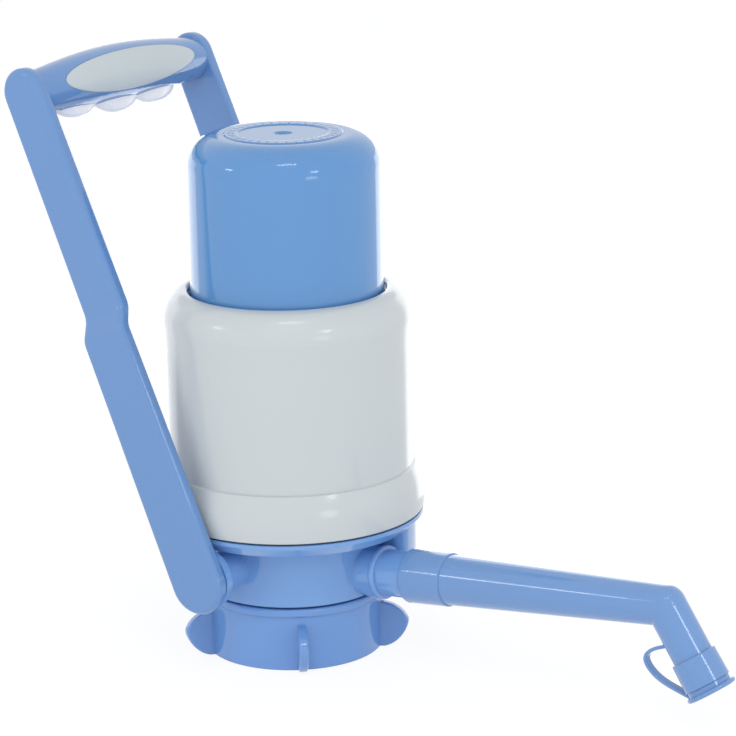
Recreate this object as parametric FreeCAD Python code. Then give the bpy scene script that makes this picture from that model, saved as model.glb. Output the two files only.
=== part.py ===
import FreeCAD, Part
import math
import os

# Hand pump for a large water jug, in millimetres.
# Origin: centre of the neck nut's lower rim, on the pump's axis.
# +Z runs up the pump's axis, +X towards the spout, the handle turns about Y.

# Cutters run past a face, and sunk roots run into a wall, by this much.
overrun = 1.0

# ---------------------------------------------------------------- neck nut
nut_height = 22.9
nut_outer_r = 31.9
nut_thread_wall = 4.1
nut_bore_length = 14.2
nut_pocket_step = 0.7
nut_flange_thickness = 3.4
nut_lip_height = 3.1
nut_lip_reach = 1.1
nut_lip_rounding = 0.9
nut_running_gap = 0.25
nut_end_gap = 0.3
wing_count = 5
wing_thickness = 3.3
wing_first_angle = -49.0
wing_reach = 10.3
wing_height = 16.9
wing_edge_rounding = 0.8
# Wing outline from its foot to its top: shares of the reach and of the height.
wing_outline = [
    (0.20, 0.0),
    (0.48, 0.08),
    (0.76, 0.24),
    (0.95, 0.44),
    (1.0, 0.59),
    (0.86, 0.77),
    (0.51, 0.93),
]

# ------------------------------------------------------- base body, lower end
ring_height = 1.9
ring_pocket_gap = 1.3
ring_width = 4.0
seal_height = 2.8
seal_pocket_gap = 1.2
spigot_wall = 2.4
body_gap = 1.0
body_height = 22.4
body_lower_r = 33.1
body_flare = 0.7
body_wall = 2.5
thrust_rib_inset = 2.2
thrust_rib_width = 1.6
tube_ring_wall = 2.0
tube_ring_height = 7.0
tube_rib_count = 4
tube_rib_first_angle = 45.0
tube_rib_width = 2.2
tube_rib_sink = 0.6

# ------------------------------------------------------- base body, upper end
flange_set_in = 0.1
flange_chamfer = 3.4
flange_chamfer_height = 3.5
flange_edge_height = 1.4
rim_step = 3.6
rim_height = 6.8
rim_wall = 2.2
deck_rise = 1.2
deck_thickness = 2.4
deck_land = 2.5

# -------------------------------------------------------- pod beside the outlet
pod_overhang = 0.6
pod_sink = 3.1
pod_top_sink = 0.6
pod_rise = 6.6
pod_start_angle = 9.0
pod_end_angle = 64.0
pod_edge_rounding = 4.0

# ------------------------------------------------------------------ outlet
outlet_rise = 6.15
outlet_tilt = 4.6
outlet_ring_r = 9.7
outlet_ring_reach = 8.8
outlet_ring_width = 2.4
outlet_ring_rounding = 0.9
outlet_boss_r = 9.1
outlet_boss_sink = 5.1
outlet_neck_r = 8.3
outlet_neck_reach = 4.7
outlet_spigot_r = 6.2
outlet_spigot_length = 14.5
outlet_spigot_wall = 2.7
outlet_seat_reach = 6.9
outlet_seat_fit = 0.05
oring_section_r = 0.9
oring_place = 7.1
oring_gap = 0.02
oring_groove_gap = 0.1

# ------------------------------------------------------------- intake elbow
elbow_barrel_r = 8.4
elbow_below_ring = 2.1
elbow_crown = 0.9
elbow_roof = 2.0
elbow_shoulder_reach = 1.5
elbow_shoulder_height = 2.0
elbow_arm_r = 5.65
elbow_passage_r = 3.6
intake_socket_r = 5.1
intake_socket_depth = 14.0
elbow_ring_gap = 0.1

# --------------------------------------------------------------- valve plate
plate_margin = 4.4
plate_thickness = 2.2
plate_gasket_width = 6.0
plate_gasket_thickness = 1.0
plate_gasket_screw_gap = 3.5
air_hole_count = 6
air_hole_r = 1.6
air_hole_circle_r = 5.6
flap_r = 9.0
flap_thickness = 0.9
flap_stem_r = 1.9
flap_stem_gap = 0.1
flap_head_r = 3.2
flap_head_height = 1.0
spring_ring_height = 2.6
spring_ring_wall = 1.4
spring_seat_gap = 0.4

# ------------------------------------------------------------------- bellows
bellows_flange_thickness = 1.6
bellows_cap_gap = 2.9
bellows_fold_depth = 6.8
bellows_wall = 0.9
bellows_fold_count = 11
# Places of a fold's valley and crest, as shares of the fold's height.
bellows_valley_place = 0.12
bellows_crest_place = 0.5
bellows_hub_gap = 0.2
clamp_ring_gap = 1.0
clamp_ring_height = 2.8
screw_count = 4
screw_first_angle = 45.0
screw_edge_distance = 3.0
screw_shank_r = 1.35
screw_hole_gap = 0.1
screw_end_gap = 0.3
screw_head_r = 2.5
screw_head_height = 1.5
screw_head_rounding = 0.6
screw_length = 11.0
screw_recess_r = 1.1
screw_recess_width = 0.7
screw_recess_depth = 0.7

# ----------------------------------------------------------------- press cap
cap_inset = 10.0
cap_wall = 2.0
cap_rise = 54.9
cap_top_rounding = 10.8
cap_flange_reach = 3.9
cap_flange_height = 2.6
cap_stop_gap = 0.3
cap_band_margin = 2.8
cap_band_width = 4.5
cap_band_height = 0.35
cap_band_bevel = 0.3
cap_dimple_r = 3.4
cap_dimple_depth = 0.6
cap_dimple_bevel = 0.6

# ------------------------------------------------- parts inside the press cap
top_plate_margin = 7.3
top_plate_thickness = 2.2
top_wall_inset = 1.0
top_wall_thickness = 2.0
top_wall_height = 3.3
top_wall_slot = 8.0
spring_cup_margin = 2.2
spring_cup_thickness = 1.6
spring_cup_hub_r = 12.0
spring_cup_hub_bore = 8.6
spring_cup_wall_height = 4.0
spring_cup_wall = 4.2
spring_cup_gap = 0.6
inlet_flap_r = 7.4
inlet_hole_circle_r = 4.8
inlet_hole_r = 1.3

# -------------------------------------------------------------- return spring
spring_wire_r = 1.0
spring_turns = 12.0
spring_end_turns = 1.25
spring_end_pitch = 2.15
spring_end_gap = 0.02

# ------------------------------------------------------------------- housing
housing_shoulder_r = 44.3
housing_shoulder_swell = 0.4
housing_swell_height = 9.0
housing_draft = 0.2
housing_step_depth = 0.8
housing_step_height = 0.2
housing_skirt_slope = 2.4
housing_skirt_bulge = 0.3
housing_skirt_rise = 0.8
housing_skirt_height = 8.0
housing_slope_height = 8.3
housing_height = 80.6
housing_shoulder_height = 11.1
housing_lip_gap = 0.9
housing_lip_rounding = 1.2
housing_wall = 2.2
housing_rim_gap = 0.3
guide_gap = 0.3
guide_wall = 2.3
guide_length = 21.5

# --------------------------------------------------------------------- spout
spout_end_gap = 0.8
spout_root_length = 16.3
spout_root_wall = 2.12
spout_root_sink = 0.5
spout_bore_gap = 0.08
spout_bore_end_gap = 1.0
collar_overhang = 0.3
collar_wall = 1.3
collar_taper = 0.25
collar_fit = 0.05
collar_rounding = 0.6
tube_start_step = 0.5
tube_end_step = 0.05
tube_wall = 1.5
elbow_distance = 155.0
nozzle_drop = 56.4
nozzle_r = 7.0
nozzle_wall = 1.5
nozzle_end = 28.0
knee_bore_step = 0.05
sleeve_length = 10.1
sleeve_overhang = 1.1
sleeve_start_wall = 0.9
sleeve_end_wall = 1.1
sleeve_fit = 0.05
sleeve_rounding = 0.4
sleeve_lip = 0.3
stopper_plug_fit = 0.05
stopper_plug_depth = 5.6
stopper_shoulder_inset = 0.5
stopper_shoulder_gap = 0.05
stopper_disc_gap = 1.8
stopper_disc_thickness = 1.6
stopper_disc_overhang = 0.75
stopper_disc_rounding = 0.7
stopper_wall = 1.3
strap_width = 3.1
strap_thickness = 1.3
strap_gap = 0.1
strap_start = 12.2
# Strap centre line: share of the way from its start to the disc's middle, and
# distance behind the nozzle's surface.
strap_path = [
    (0.0, -0.3),
    (-0.041, 2.6),
    (-0.0667, 5.6),
    (-0.0513, 8.4),
    (0.0103, 10.3),
    (0.1538, 10.8),
    (0.3692, 9.8),
    (0.5692, 7.5),
    (0.8051, 3.7),
    (0.9846, 1.3),
]

# -------------------------------------------------------------------- handle
pivot_x = -3.0
pivot_rise = 12.7
handle_lean = 24.0
pivot_disc_r = 10.6
pivot_disc_thickness = 3.2
pivot_stem_r = 7.2
pivot_boss_reach = 1.4
pivot_boss_sink = 5.1
pivot_bore_depth = 8.1
pivot_pin_r = 5.0
pivot_pin_gap = 0.08
pivot_pin_end_gap = 0.6
pivot_pin_sink = 0.5
arm_gap = 0.5
arm_housing_gap = 0.4
arm_thickness = 5.0
arm_root_width = 22.0
arm_lower_width = 20.2
arm_upper_width = 18.8
arm_top_width = 17.6
arm_set_back = 0.2
arm_root_drop = 0.6
arm_joggle_start = 92.5
arm_joggle_end = 99.5
arm_bend_r = 7.0
arm_bend_steps = 4
arm_top_centre = 181.3
arm_outer_rounding = 2.2
arm_inner_rounding = 1.2
grip_centre = 180.2
grip_sink = 0.4
grip_end_half_width = 8.2
grip_end_half_height = 7.9
grip_mid_half_width = 11.5
grip_mid_half_height = 11.6
grip_end_under_height = 7.9
grip_mid_under_height = 9.1
grip_quarter_width_share = 0.8
grip_quarter_height_share = 0.7
inlay_end_margin = 8.9
inlay_half_width = 7.0
inlay_tilt = 3.0
inlay_drop = 0.4
inlay_start = 5.0
inlay_depth = 1.8
inlay_rise = 0.3
pad_floor = 3.0
pad_spine_half_width = 2.2
pad_spine_thickness = 2.5
# Middles of the pad's bumps: place along the bar and drop below its middle line.
lobe_places = [(-25.5, 4.4), (-3.8, 5.9), (17.3, 5.5)]
lobe_half_length = 13.0
lobe_half_width = 3.3
lobe_half_height = 7.2
lobe_forward = 0.5
# Finger grooves under the bar: place along it and depth of its top below the axis.
finger_grooves = [(-39.0, 7.2), (37.0, 7.0)]
finger_groove_r = 9.0

# ------------------------------------------------- sizes that follow: neck nut
nut_bore_r = nut_outer_r - nut_thread_wall
nut_pocket_r = nut_bore_r + nut_pocket_step
nut_lip_r = nut_outer_r + nut_lip_reach
nut_flange_bottom = nut_height - nut_flange_thickness
nut_lip_bottom = nut_height - nut_lip_height
ring_outer_r = nut_pocket_r - ring_pocket_gap
ring_top = nut_flange_bottom - nut_end_gap
ring_bottom = ring_top - ring_height
seal_outer_r = nut_pocket_r - seal_pocket_gap
seal_bottom = ring_bottom - seal_height
spigot_r = ring_outer_r - ring_width
spigot_bore_r = spigot_r - spigot_wall
thrust_rib_r = spigot_r + thrust_rib_inset

# -------------------------------------------------- sizes that follow: housing
housing_upper_r = housing_shoulder_r - housing_shoulder_swell
housing_lower_r = housing_upper_r + housing_draft
housing_step_r = housing_lower_r + housing_step_depth
housing_skirt_r = housing_step_r + housing_skirt_slope
flange_r = housing_skirt_r - flange_set_in
flange_lower_r = flange_r - flange_chamfer
rim_r = flange_r - rim_step
rim_inner_r = rim_r - rim_wall
cap_r = housing_shoulder_r - cap_inset
cap_inner_r = cap_r - cap_wall
cap_flange_r = cap_r + cap_flange_reach
housing_lip_r = cap_r + housing_lip_gap

# ------------------------------------------------------ sizes that follow: body
body_upper_r = body_lower_r + body_flare
body_inner_r = body_lower_r - body_wall
body_bottom = nut_height + body_gap
flange_bottom = body_bottom + body_height
flange_chamfer_top = flange_bottom + flange_chamfer_height
flange_top = flange_chamfer_top + flange_edge_height
rim_top = flange_top + rim_height
deck_top = flange_top + deck_rise
deck_bottom = deck_top - deck_thickness
pod_r = flange_lower_r + pod_overhang
pod_inner_r = body_lower_r - pod_sink
pod_bottom = body_bottom + pod_rise
outlet_height = body_bottom + outlet_rise
outlet_boss_start = body_lower_r - outlet_boss_sink
outlet_ring_end = body_lower_r + outlet_ring_reach
outlet_ring_start = outlet_ring_end - outlet_ring_width
outlet_neck_end = flange_r + outlet_neck_reach
outlet_spigot_end = outlet_neck_end + outlet_spigot_length
outlet_passage_r = outlet_spigot_r - outlet_spigot_wall
outlet_seat_r = elbow_arm_r + outlet_seat_fit
outlet_seat_end = body_lower_r + outlet_seat_reach
oring_position = outlet_neck_end + oring_place
elbow_bottom = ring_bottom - elbow_below_ring
elbow_top = outlet_height + elbow_arm_r + elbow_crown
elbow_shoulder_r = elbow_barrel_r + elbow_shoulder_reach

# ------------------------------------------- sizes that follow: pump mechanism
plate_r = rim_inner_r - plate_margin
plate_bottom = deck_top
plate_top = plate_bottom + plate_thickness
screw_circle_r = plate_r - screw_edge_distance
plate_gasket_outer_r = screw_circle_r - plate_gasket_screw_gap
plate_gasket_inner_r = plate_gasket_outer_r - plate_gasket_width
deck_hole_r = plate_gasket_inner_r - deck_land
bellows_outer_r = cap_inner_r - bellows_cap_gap
bellows_valley_r = bellows_outer_r - bellows_fold_depth
bellows_flange_r = plate_r
bellows_top_hole_r = spring_cup_hub_r + bellows_hub_gap
bellows_bottom = plate_top
bellows_flange_top = bellows_bottom + bellows_flange_thickness
clamp_ring_inner_r = bellows_outer_r + clamp_ring_gap
clamp_ring_top = bellows_flange_top + clamp_ring_height
housing_skirt_bottom = flange_top + housing_skirt_rise
housing_skirt_corner_z = housing_skirt_bottom + housing_skirt_height
housing_step_z = housing_skirt_corner_z + housing_slope_height
housing_top = housing_skirt_bottom + housing_height
housing_shoulder_z = housing_top - housing_shoulder_height
guide_bottom = housing_top - housing_wall - guide_length
cap_bottom = guide_bottom - cap_stop_gap - cap_flange_height
cap_top = housing_top + cap_rise
cap_roof = cap_top - cap_wall
top_plate_r = cap_inner_r - top_plate_margin
top_wall_r = top_plate_r - top_wall_inset
top_plate_top = cap_roof - top_wall_height
top_plate_bottom = top_plate_top - top_plate_thickness
bellows_top = top_plate_bottom
bellows_top_flange_bottom = bellows_top - bellows_flange_thickness
spring_cup_bottom = bellows_top_flange_bottom - spring_cup_thickness
spring_cup_r = bellows_valley_r - spring_cup_margin
spring_coil_r = spring_cup_r - spring_cup_wall - spring_cup_gap - spring_wire_r

# ---------------------------------------------------- sizes that follow: spout
spout_root_start = outlet_neck_end + spout_end_gap
spout_root_end = spout_root_start + spout_root_length
spout_root_r = outlet_spigot_r + spout_bore_gap + spout_root_wall
collar_start = spout_root_start - collar_overhang
collar_end = spout_root_end + collar_overhang
collar_start_r = spout_root_r + collar_wall
collar_end_r = collar_start_r - collar_taper
tube_start_r = spout_root_r + tube_start_step
tube_end_r = nozzle_r + tube_end_step
nozzle_bore_r = nozzle_r - nozzle_wall
sleeve_end = nozzle_end + sleeve_overhang
sleeve_start = sleeve_end - sleeve_length
sleeve_start_r = nozzle_r + sleeve_start_wall
sleeve_end_r = nozzle_r + sleeve_end_wall
sleeve_lip_r = nozzle_bore_r - sleeve_lip
stopper_plug_r = sleeve_lip_r - stopper_plug_fit
stopper_plug_start = sleeve_end - stopper_plug_depth
stopper_shoulder_r = sleeve_end_r - stopper_shoulder_inset
stopper_disc_start = sleeve_end + stopper_disc_gap
stopper_disc_end = stopper_disc_start + stopper_disc_thickness
stopper_disc_r = sleeve_end_r + stopper_disc_overhang

# --------------------------------------------------- sizes that follow: handle
pivot_z = body_bottom + pivot_rise
pivot_boss_start = body_lower_r - pivot_boss_sink
pivot_boss_end = housing_skirt_r + pivot_boss_reach
pivot_bore_start = pivot_boss_end - pivot_bore_depth
pivot_pin_end = pivot_bore_start + pivot_pin_end_gap
arm_inner_y = pivot_boss_end + arm_gap
arm_upper_inner_y = housing_shoulder_r + arm_housing_gap
inlay_half_length = arm_upper_inner_y - inlay_end_margin

# ------------------------------------------------------------ points and ways
UP = FreeCAD.Vector(0, 0, 1)
ACROSS = FreeCAD.Vector(0, 1, 0)
tilt = math.radians(outlet_tilt)
drop = math.radians(nozzle_drop)
OUTLET_ORIGIN = FreeCAD.Vector(0, 0, outlet_height)
OUTLET_WAY = FreeCAD.Vector(math.cos(tilt), 0, math.sin(tilt))
ELBOW_POINT = OUTLET_ORIGIN + OUTLET_WAY * elbow_distance
NOZZLE_WAY = FreeCAD.Vector(math.cos(drop), 0, -math.sin(drop))
NOZZLE_BACK = FreeCAD.Vector(-math.sin(drop), 0, -math.cos(drop))
PIVOT = FreeCAD.Vector(pivot_x, 0, pivot_z)


# ------------------------------------------------------------------- helpers
MATCH = 0.01


def vec(x, y, z):
    return FreeCAD.Vector(x, y, z)


def turned(points):
    """Solid of revolution about the pump's axis from (radius, height) points."""
    wire = Part.makePolygon([vec(r, 0, z) for r, z in points + points[:1]])
    return Part.Face(wire).revolve(vec(0, 0, 0), UP, 360)


def turned_edges(edges):
    """Solid of revolution about the pump's axis from edges in the XZ plane."""
    return Part.Face(Part.Wire(edges)).revolve(vec(0, 0, 0), UP, 360)


def rod(radius, start, end, origin=vec(0, 0, 0), way=UP):
    """Cylinder along an axis, between two distances from the axis's origin."""
    return Part.makeCylinder(radius, end - start, origin + way * start, way)


def cone_rod(start_r, end_r, start, end, origin, way):
    """Tapered rod along an axis, between two distances from its origin."""
    return Part.makeCone(start_r, end_r, end - start, origin + way * start, way)


def tube(outer_r, inner_r, start, end, origin=vec(0, 0, 0), way=UP):
    """Plain ring or pipe along an axis."""
    return rod(outer_r, start, end, origin, way).cut(rod(inner_r, start, end, origin, way))


def around(shape, count, first_angle=0.0):
    """Copies of a shape spread evenly about the pump's axis."""
    copies = []
    for i in range(count):
        copy = shape.copy()
        copy.rotate(vec(0, 0, 0), UP, first_angle + 360.0 * i / count)
        copies.append(copy)
    return copies


def on_ring(radius, angle, z):
    """Point at a radius and angle in degrees about the pump's axis."""
    turn = math.radians(angle)
    return vec(radius * math.cos(turn), radius * math.sin(turn), z)


def circular_edges(shape, radius, tolerance=MATCH):
    """Edges of a shape that are circles of one radius."""
    found = []
    for edge in shape.Edges:
        curve = edge.Curve
        if isinstance(curve, Part.Circle) and abs(curve.Radius - radius) < tolerance:
            found.append(edge)
    return found


def mirrored(shape):
    """The shape's twin on the other side of the XZ plane."""
    return shape.mirror(vec(0, 0, 0), ACROSS)


def lean_back(shape):
    """Turns a shape drawn on an upright handle to the handle's rest angle."""
    turned_shape = shape.copy()
    turned_shape.rotate(PIVOT, ACROSS, -handle_lean)
    return turned_shape


# ------------------------------------------------------------------ neck nut
def wing():
    """One D-shaped finger wing, standing out along +X."""
    root = nut_outer_r - overrun
    foot = vec(root, 0, 0)
    shoulder = vec(root, 0, wing_height)
    rim = [vec(nut_outer_r + wing_reach * out, 0, wing_height * up) for out, up in wing_outline]
    curve = Part.BSplineCurve()
    curve.interpolate(rim + [shoulder])
    outline = [curve.toShape(), Part.makeLine(shoulder, foot), Part.makeLine(foot, rim[0])]
    face = Part.Face(Part.Wire(outline))
    solid = face.extrude(vec(0, wing_thickness, 0))
    solid.translate(vec(0, -wing_thickness / 2, 0))
    tip = nut_outer_r + wing_reach
    edges = []
    for edge in solid.Edges:
        box = edge.BoundBox
        if box.XMax > tip - wing_edge_rounding and box.YLength < MATCH:
            edges.append(edge)
    return solid.makeFillet(wing_edge_rounding, edges)


def make_neck_nut():
    hole_r = spigot_r + nut_running_gap
    shell = turned(
        [
            (nut_bore_r, 0),
            (nut_outer_r, 0),
            (nut_outer_r, nut_lip_bottom),
            (nut_lip_r, nut_lip_bottom),
            (nut_lip_r, nut_height),
            (hole_r, nut_height),
            (hole_r, nut_flange_bottom),
            (nut_pocket_r, nut_flange_bottom),
            (nut_pocket_r, nut_bore_length),
            (nut_bore_r, nut_bore_length),
        ]
    )
    shell = shell.makeFillet(nut_lip_rounding, circular_edges(shell, nut_lip_r))
    nut = shell.fuse(around(wing(), wing_count, wing_first_angle))
    return nut.removeSplitter()


def make_nut_retaining_ring():
    return tube(ring_outer_r, spigot_r, ring_bottom, ring_top)


def make_neck_seal():
    return tube(seal_outer_r, spigot_bore_r, seal_bottom, ring_bottom)


# ----------------------------------------------------------------- base body
def screw_holes(bottom, top):
    """Clearance holes for the ring's screws, run past the upper face."""
    hole = rod(screw_shank_r + screw_hole_gap, bottom, top + overrun, vec(screw_circle_r, 0, 0))
    return around(hole, screw_count, screw_first_angle)


def base_shell():
    floor_top = body_bottom + body_wall
    gasket_floor = deck_top - plate_gasket_thickness
    return turned(
        [
            (spigot_bore_r, ring_bottom),
            (spigot_r, ring_bottom),
            (spigot_r, body_bottom),
            (thrust_rib_r, body_bottom),
            (thrust_rib_r, nut_height + nut_end_gap),
            (thrust_rib_r + thrust_rib_width, nut_height + nut_end_gap),
            (thrust_rib_r + thrust_rib_width, body_bottom),
            (body_lower_r, body_bottom),
            (body_upper_r, flange_bottom),
            (flange_lower_r, flange_bottom),
            (flange_r, flange_chamfer_top),
            (flange_r, flange_top),
            (rim_r, flange_top),
            (rim_r, rim_top),
            (rim_inner_r, rim_top),
            (rim_inner_r, deck_top),
            (plate_gasket_outer_r, deck_top),
            (plate_gasket_outer_r, gasket_floor),
            (plate_gasket_inner_r, gasket_floor),
            (plate_gasket_inner_r, deck_top),
            (deck_hole_r, deck_top),
            (deck_hole_r, deck_bottom),
            (body_inner_r, deck_bottom),
            (body_inner_r, floor_top),
            (spigot_bore_r, floor_top),
        ]
    )


def outlet_boss():
    """Boss with its ring, neck and grooved spigot of the outlet, without its passage."""
    groove_bottom_r = outlet_spigot_r + spout_bore_gap - oring_gap - 2 * oring_section_r
    groove_half = oring_section_r + oring_groove_gap
    boss_end = outlet_ring_end - outlet_ring_width / 2
    boss = rod(outlet_boss_r, outlet_boss_start, boss_end, OUTLET_ORIGIN, OUTLET_WAY)
    ring = rod(outlet_ring_r, outlet_ring_start, outlet_ring_end, OUTLET_ORIGIN, OUTLET_WAY)
    ring = ring.makeFillet(outlet_ring_rounding, circular_edges(ring, outlet_ring_r))
    neck = rod(outlet_neck_r, outlet_boss_start, outlet_neck_end, OUTLET_ORIGIN, OUTLET_WAY)
    spigot = rod(
        outlet_spigot_r, outlet_neck_end - overrun, outlet_spigot_end, OUTLET_ORIGIN, OUTLET_WAY
    )
    groove = tube(
        outlet_spigot_r + overrun,
        groove_bottom_r,
        oring_position - groove_half,
        oring_position + groove_half,
        OUTLET_ORIGIN,
        OUTLET_WAY,
    )
    return boss.fuse([ring, neck, spigot.cut(groove)])


def pivot_boss():
    """Stem and disc that carry the handle on the -Y side."""
    disc_start = pivot_boss_end - pivot_disc_thickness
    stem = rod(pivot_stem_r, pivot_boss_start, pivot_boss_end, PIVOT, -ACROSS)
    disc = rod(pivot_disc_r, disc_start, pivot_boss_end, PIVOT, -ACROSS)
    return stem.fuse(disc)


def pod():
    """Rounded block under the flange, beside the outlet."""
    low = on_ring(pod_inner_r, pod_start_angle, pod_bottom)
    mid_angle = (pod_start_angle + pod_end_angle) / 2
    inner = Part.Arc(
        low,
        on_ring(pod_inner_r, mid_angle, pod_bottom),
        on_ring(pod_inner_r, pod_end_angle, pod_bottom),
    ).toShape()
    outer = Part.Arc(
        on_ring(pod_r, pod_start_angle, pod_bottom),
        on_ring(pod_r, mid_angle, pod_bottom),
        on_ring(pod_r, pod_end_angle, pod_bottom),
    ).toShape()
    start_side = Part.makeLine(low, on_ring(pod_r, pod_start_angle, pod_bottom))
    end_side = Part.makeLine(
        on_ring(pod_inner_r, pod_end_angle, pod_bottom), on_ring(pod_r, pod_end_angle, pod_bottom)
    )
    face = Part.Face(Part.Wire([inner, end_side, outer, start_side]))
    height = flange_bottom + pod_top_sink - pod_bottom
    block = face.extrude(vec(0, 0, height))
    uprights = []
    for edge in block.Edges:
        box = edge.BoundBox
        outer_corner = math.hypot(box.XMax, box.YMax) > pod_r - MATCH
        if box.ZLength > height / 2 and outer_corner:
            uprights.append(edge)
    return block.makeFillet(pod_edge_rounding, uprights)


def tube_ring():
    """Ring on ribs in the spigot that holds the intake elbow's barrel."""
    inner_r = elbow_barrel_r + elbow_ring_gap
    outer_r = inner_r + tube_ring_wall
    top = ring_bottom + tube_ring_height
    ring = tube(outer_r, inner_r, ring_bottom, top)
    rib = Part.makeBox(
        spigot_bore_r - outer_r + 2 * tube_rib_sink,
        tube_rib_width,
        tube_ring_height,
        vec(outer_r - tube_rib_sink, -tube_rib_width / 2, ring_bottom),
    )
    return ring.fuse(around(rib, tube_rib_count, tube_rib_first_angle))


def nut_space():
    """Room that the nut's lip needs to turn under the body's stand-outs."""
    return rod(nut_lip_r + nut_running_gap, 0, nut_height + nut_end_gap)


def make_base_body():
    body = base_shell()
    inside = rod(body_inner_r, body_bottom + body_wall, deck_bottom)
    stand_outs = outlet_boss().fuse([pivot_boss(), mirrored(pivot_boss()), pod()])
    stand_outs = stand_outs.cut([inside, nut_space()])
    body = body.fuse([stand_outs, tube_ring()])
    passage_start = outlet_seat_end - overrun
    passage_end = outlet_spigot_end + overrun
    bore_end = pivot_boss_end + overrun
    screw_bottom = clamp_ring_top - screw_length - screw_end_gap
    passages = [
        rod(outlet_passage_r, passage_start, passage_end, OUTLET_ORIGIN, OUTLET_WAY),
        rod(outlet_seat_r, elbow_shoulder_r, outlet_seat_end, OUTLET_ORIGIN, OUTLET_WAY),
        rod(pivot_pin_r + pivot_pin_gap, pivot_bore_start, bore_end, PIVOT, -ACROSS),
        rod(pivot_pin_r + pivot_pin_gap, pivot_bore_start, bore_end, PIVOT, ACROSS),
    ]
    return body.cut(passages + screw_holes(screw_bottom, deck_top)).removeSplitter()


# -------------------------------------------------------------- intake elbow
def make_intake_elbow():
    shoulder_bottom = ring_bottom + tube_ring_height
    barrel = rod(elbow_barrel_r, elbow_bottom, elbow_top)
    shoulder = rod(elbow_shoulder_r, shoulder_bottom, shoulder_bottom + elbow_shoulder_height)
    arm = rod(elbow_arm_r, 0, outlet_seat_end, OUTLET_ORIGIN, OUTLET_WAY)
    body = barrel.fuse([shoulder, arm])
    socket_top = elbow_bottom + intake_socket_depth
    hollows = [
        rod(intake_socket_r, elbow_bottom - overrun, socket_top),
        rod(elbow_passage_r, socket_top - overrun, elbow_top - elbow_roof),
        rod(elbow_passage_r, 0, outlet_seat_end + overrun, OUTLET_ORIGIN, OUTLET_WAY),
    ]
    return body.cut(hollows).removeSplitter()


# --------------------------------------------------------------- valve plate
def make_plate_gasket():
    return tube(
        plate_gasket_outer_r,
        plate_gasket_inner_r,
        deck_top - plate_gasket_thickness,
        deck_top,
    )


def make_valve_plate():
    plate = rod(plate_r, plate_bottom, plate_top)
    seat_outer_r = spring_coil_r - spring_wire_r - spring_seat_gap
    seat = tube(seat_outer_r, seat_outer_r - spring_ring_wall, plate_top, plate_top + spring_ring_height)
    below = plate_bottom - overrun
    above = plate_top + overrun
    air_hole = rod(air_hole_r, below, above, vec(air_hole_circle_r, 0, 0))
    stem_hole = rod(flap_stem_r + flap_stem_gap, below, above)
    holes = around(air_hole, air_hole_count) + screw_holes(below, plate_top) + [stem_hole]
    return plate.fuse(seat).cut(holes).removeSplitter()


def valve_flap(disc_r, under, over):
    """Umbrella valve: disc below a plate, stem through it, head above it."""
    disc = rod(disc_r, under - flap_thickness, under)
    stem = rod(flap_stem_r, under - flap_thickness, over + flap_head_height)
    head = cone_rod(flap_head_r, flap_stem_r, over, over + flap_head_height, vec(0, 0, 0), UP)
    return disc.fuse([stem, head]).removeSplitter()


# ------------------------------------------------------------------- bellows
def make_bellows():
    """Folded skin with a flat flange at each end."""
    start = bellows_flange_top
    end = bellows_top_flange_bottom
    fold = (end - start) / bellows_fold_count
    middle = []
    for i in range(bellows_fold_count):
        middle.append((bellows_valley_r, start + fold * (i + bellows_valley_place)))
        middle.append((bellows_outer_r, start + fold * (i + bellows_crest_place)))
    middle.append((bellows_valley_r, end - fold * bellows_valley_place))
    skin = bellows_wall / 2
    outside = [(r + skin, z) for r, z in middle]
    inside = [(r - skin, z) for r, z in middle]
    profile = [(bellows_valley_r - skin, bellows_bottom), (bellows_flange_r, bellows_bottom)]
    profile += [(bellows_flange_r, bellows_flange_top), (bellows_valley_r + skin, bellows_flange_top)]
    profile += outside
    profile += [(bellows_valley_r + skin, bellows_top), (bellows_top_hole_r, bellows_top)]
    profile += [(bellows_top_hole_r, bellows_top_flange_bottom)]
    profile += [(bellows_valley_r - skin, bellows_top_flange_bottom)]
    profile += list(reversed(inside))
    holes = screw_holes(bellows_bottom - overrun, bellows_flange_top)
    return turned(profile).cut(holes)


def make_clamp_ring():
    ring = tube(plate_r, clamp_ring_inner_r, bellows_flange_top, clamp_ring_top)
    return ring.cut(screw_holes(bellows_flange_top - overrun, clamp_ring_top))


def make_ring_screws():
    """Four pan-head screws in one group."""
    origin = vec(screw_circle_r, 0, 0)
    shank = rod(screw_shank_r, clamp_ring_top - screw_length, clamp_ring_top, origin)
    head_top = clamp_ring_top + screw_head_height
    head = rod(screw_head_r, clamp_ring_top, head_top, origin)
    top_edge = [e for e in circular_edges(head, screw_head_r) if e.BoundBox.ZMin > head_top - MATCH]
    head = head.makeFillet(screw_head_rounding, top_edge)
    slot = Part.makeBox(
        2 * screw_recess_r,
        screw_recess_width,
        screw_recess_depth + overrun,
        origin + vec(-screw_recess_r, -screw_recess_width / 2, head_top - screw_recess_depth),
    )
    cross = slot.copy()
    cross.rotate(origin, UP, 90)
    screw = shank.fuse(head).cut([slot, cross])
    return Part.makeCompound(around(screw, screw_count, screw_first_angle))


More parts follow.
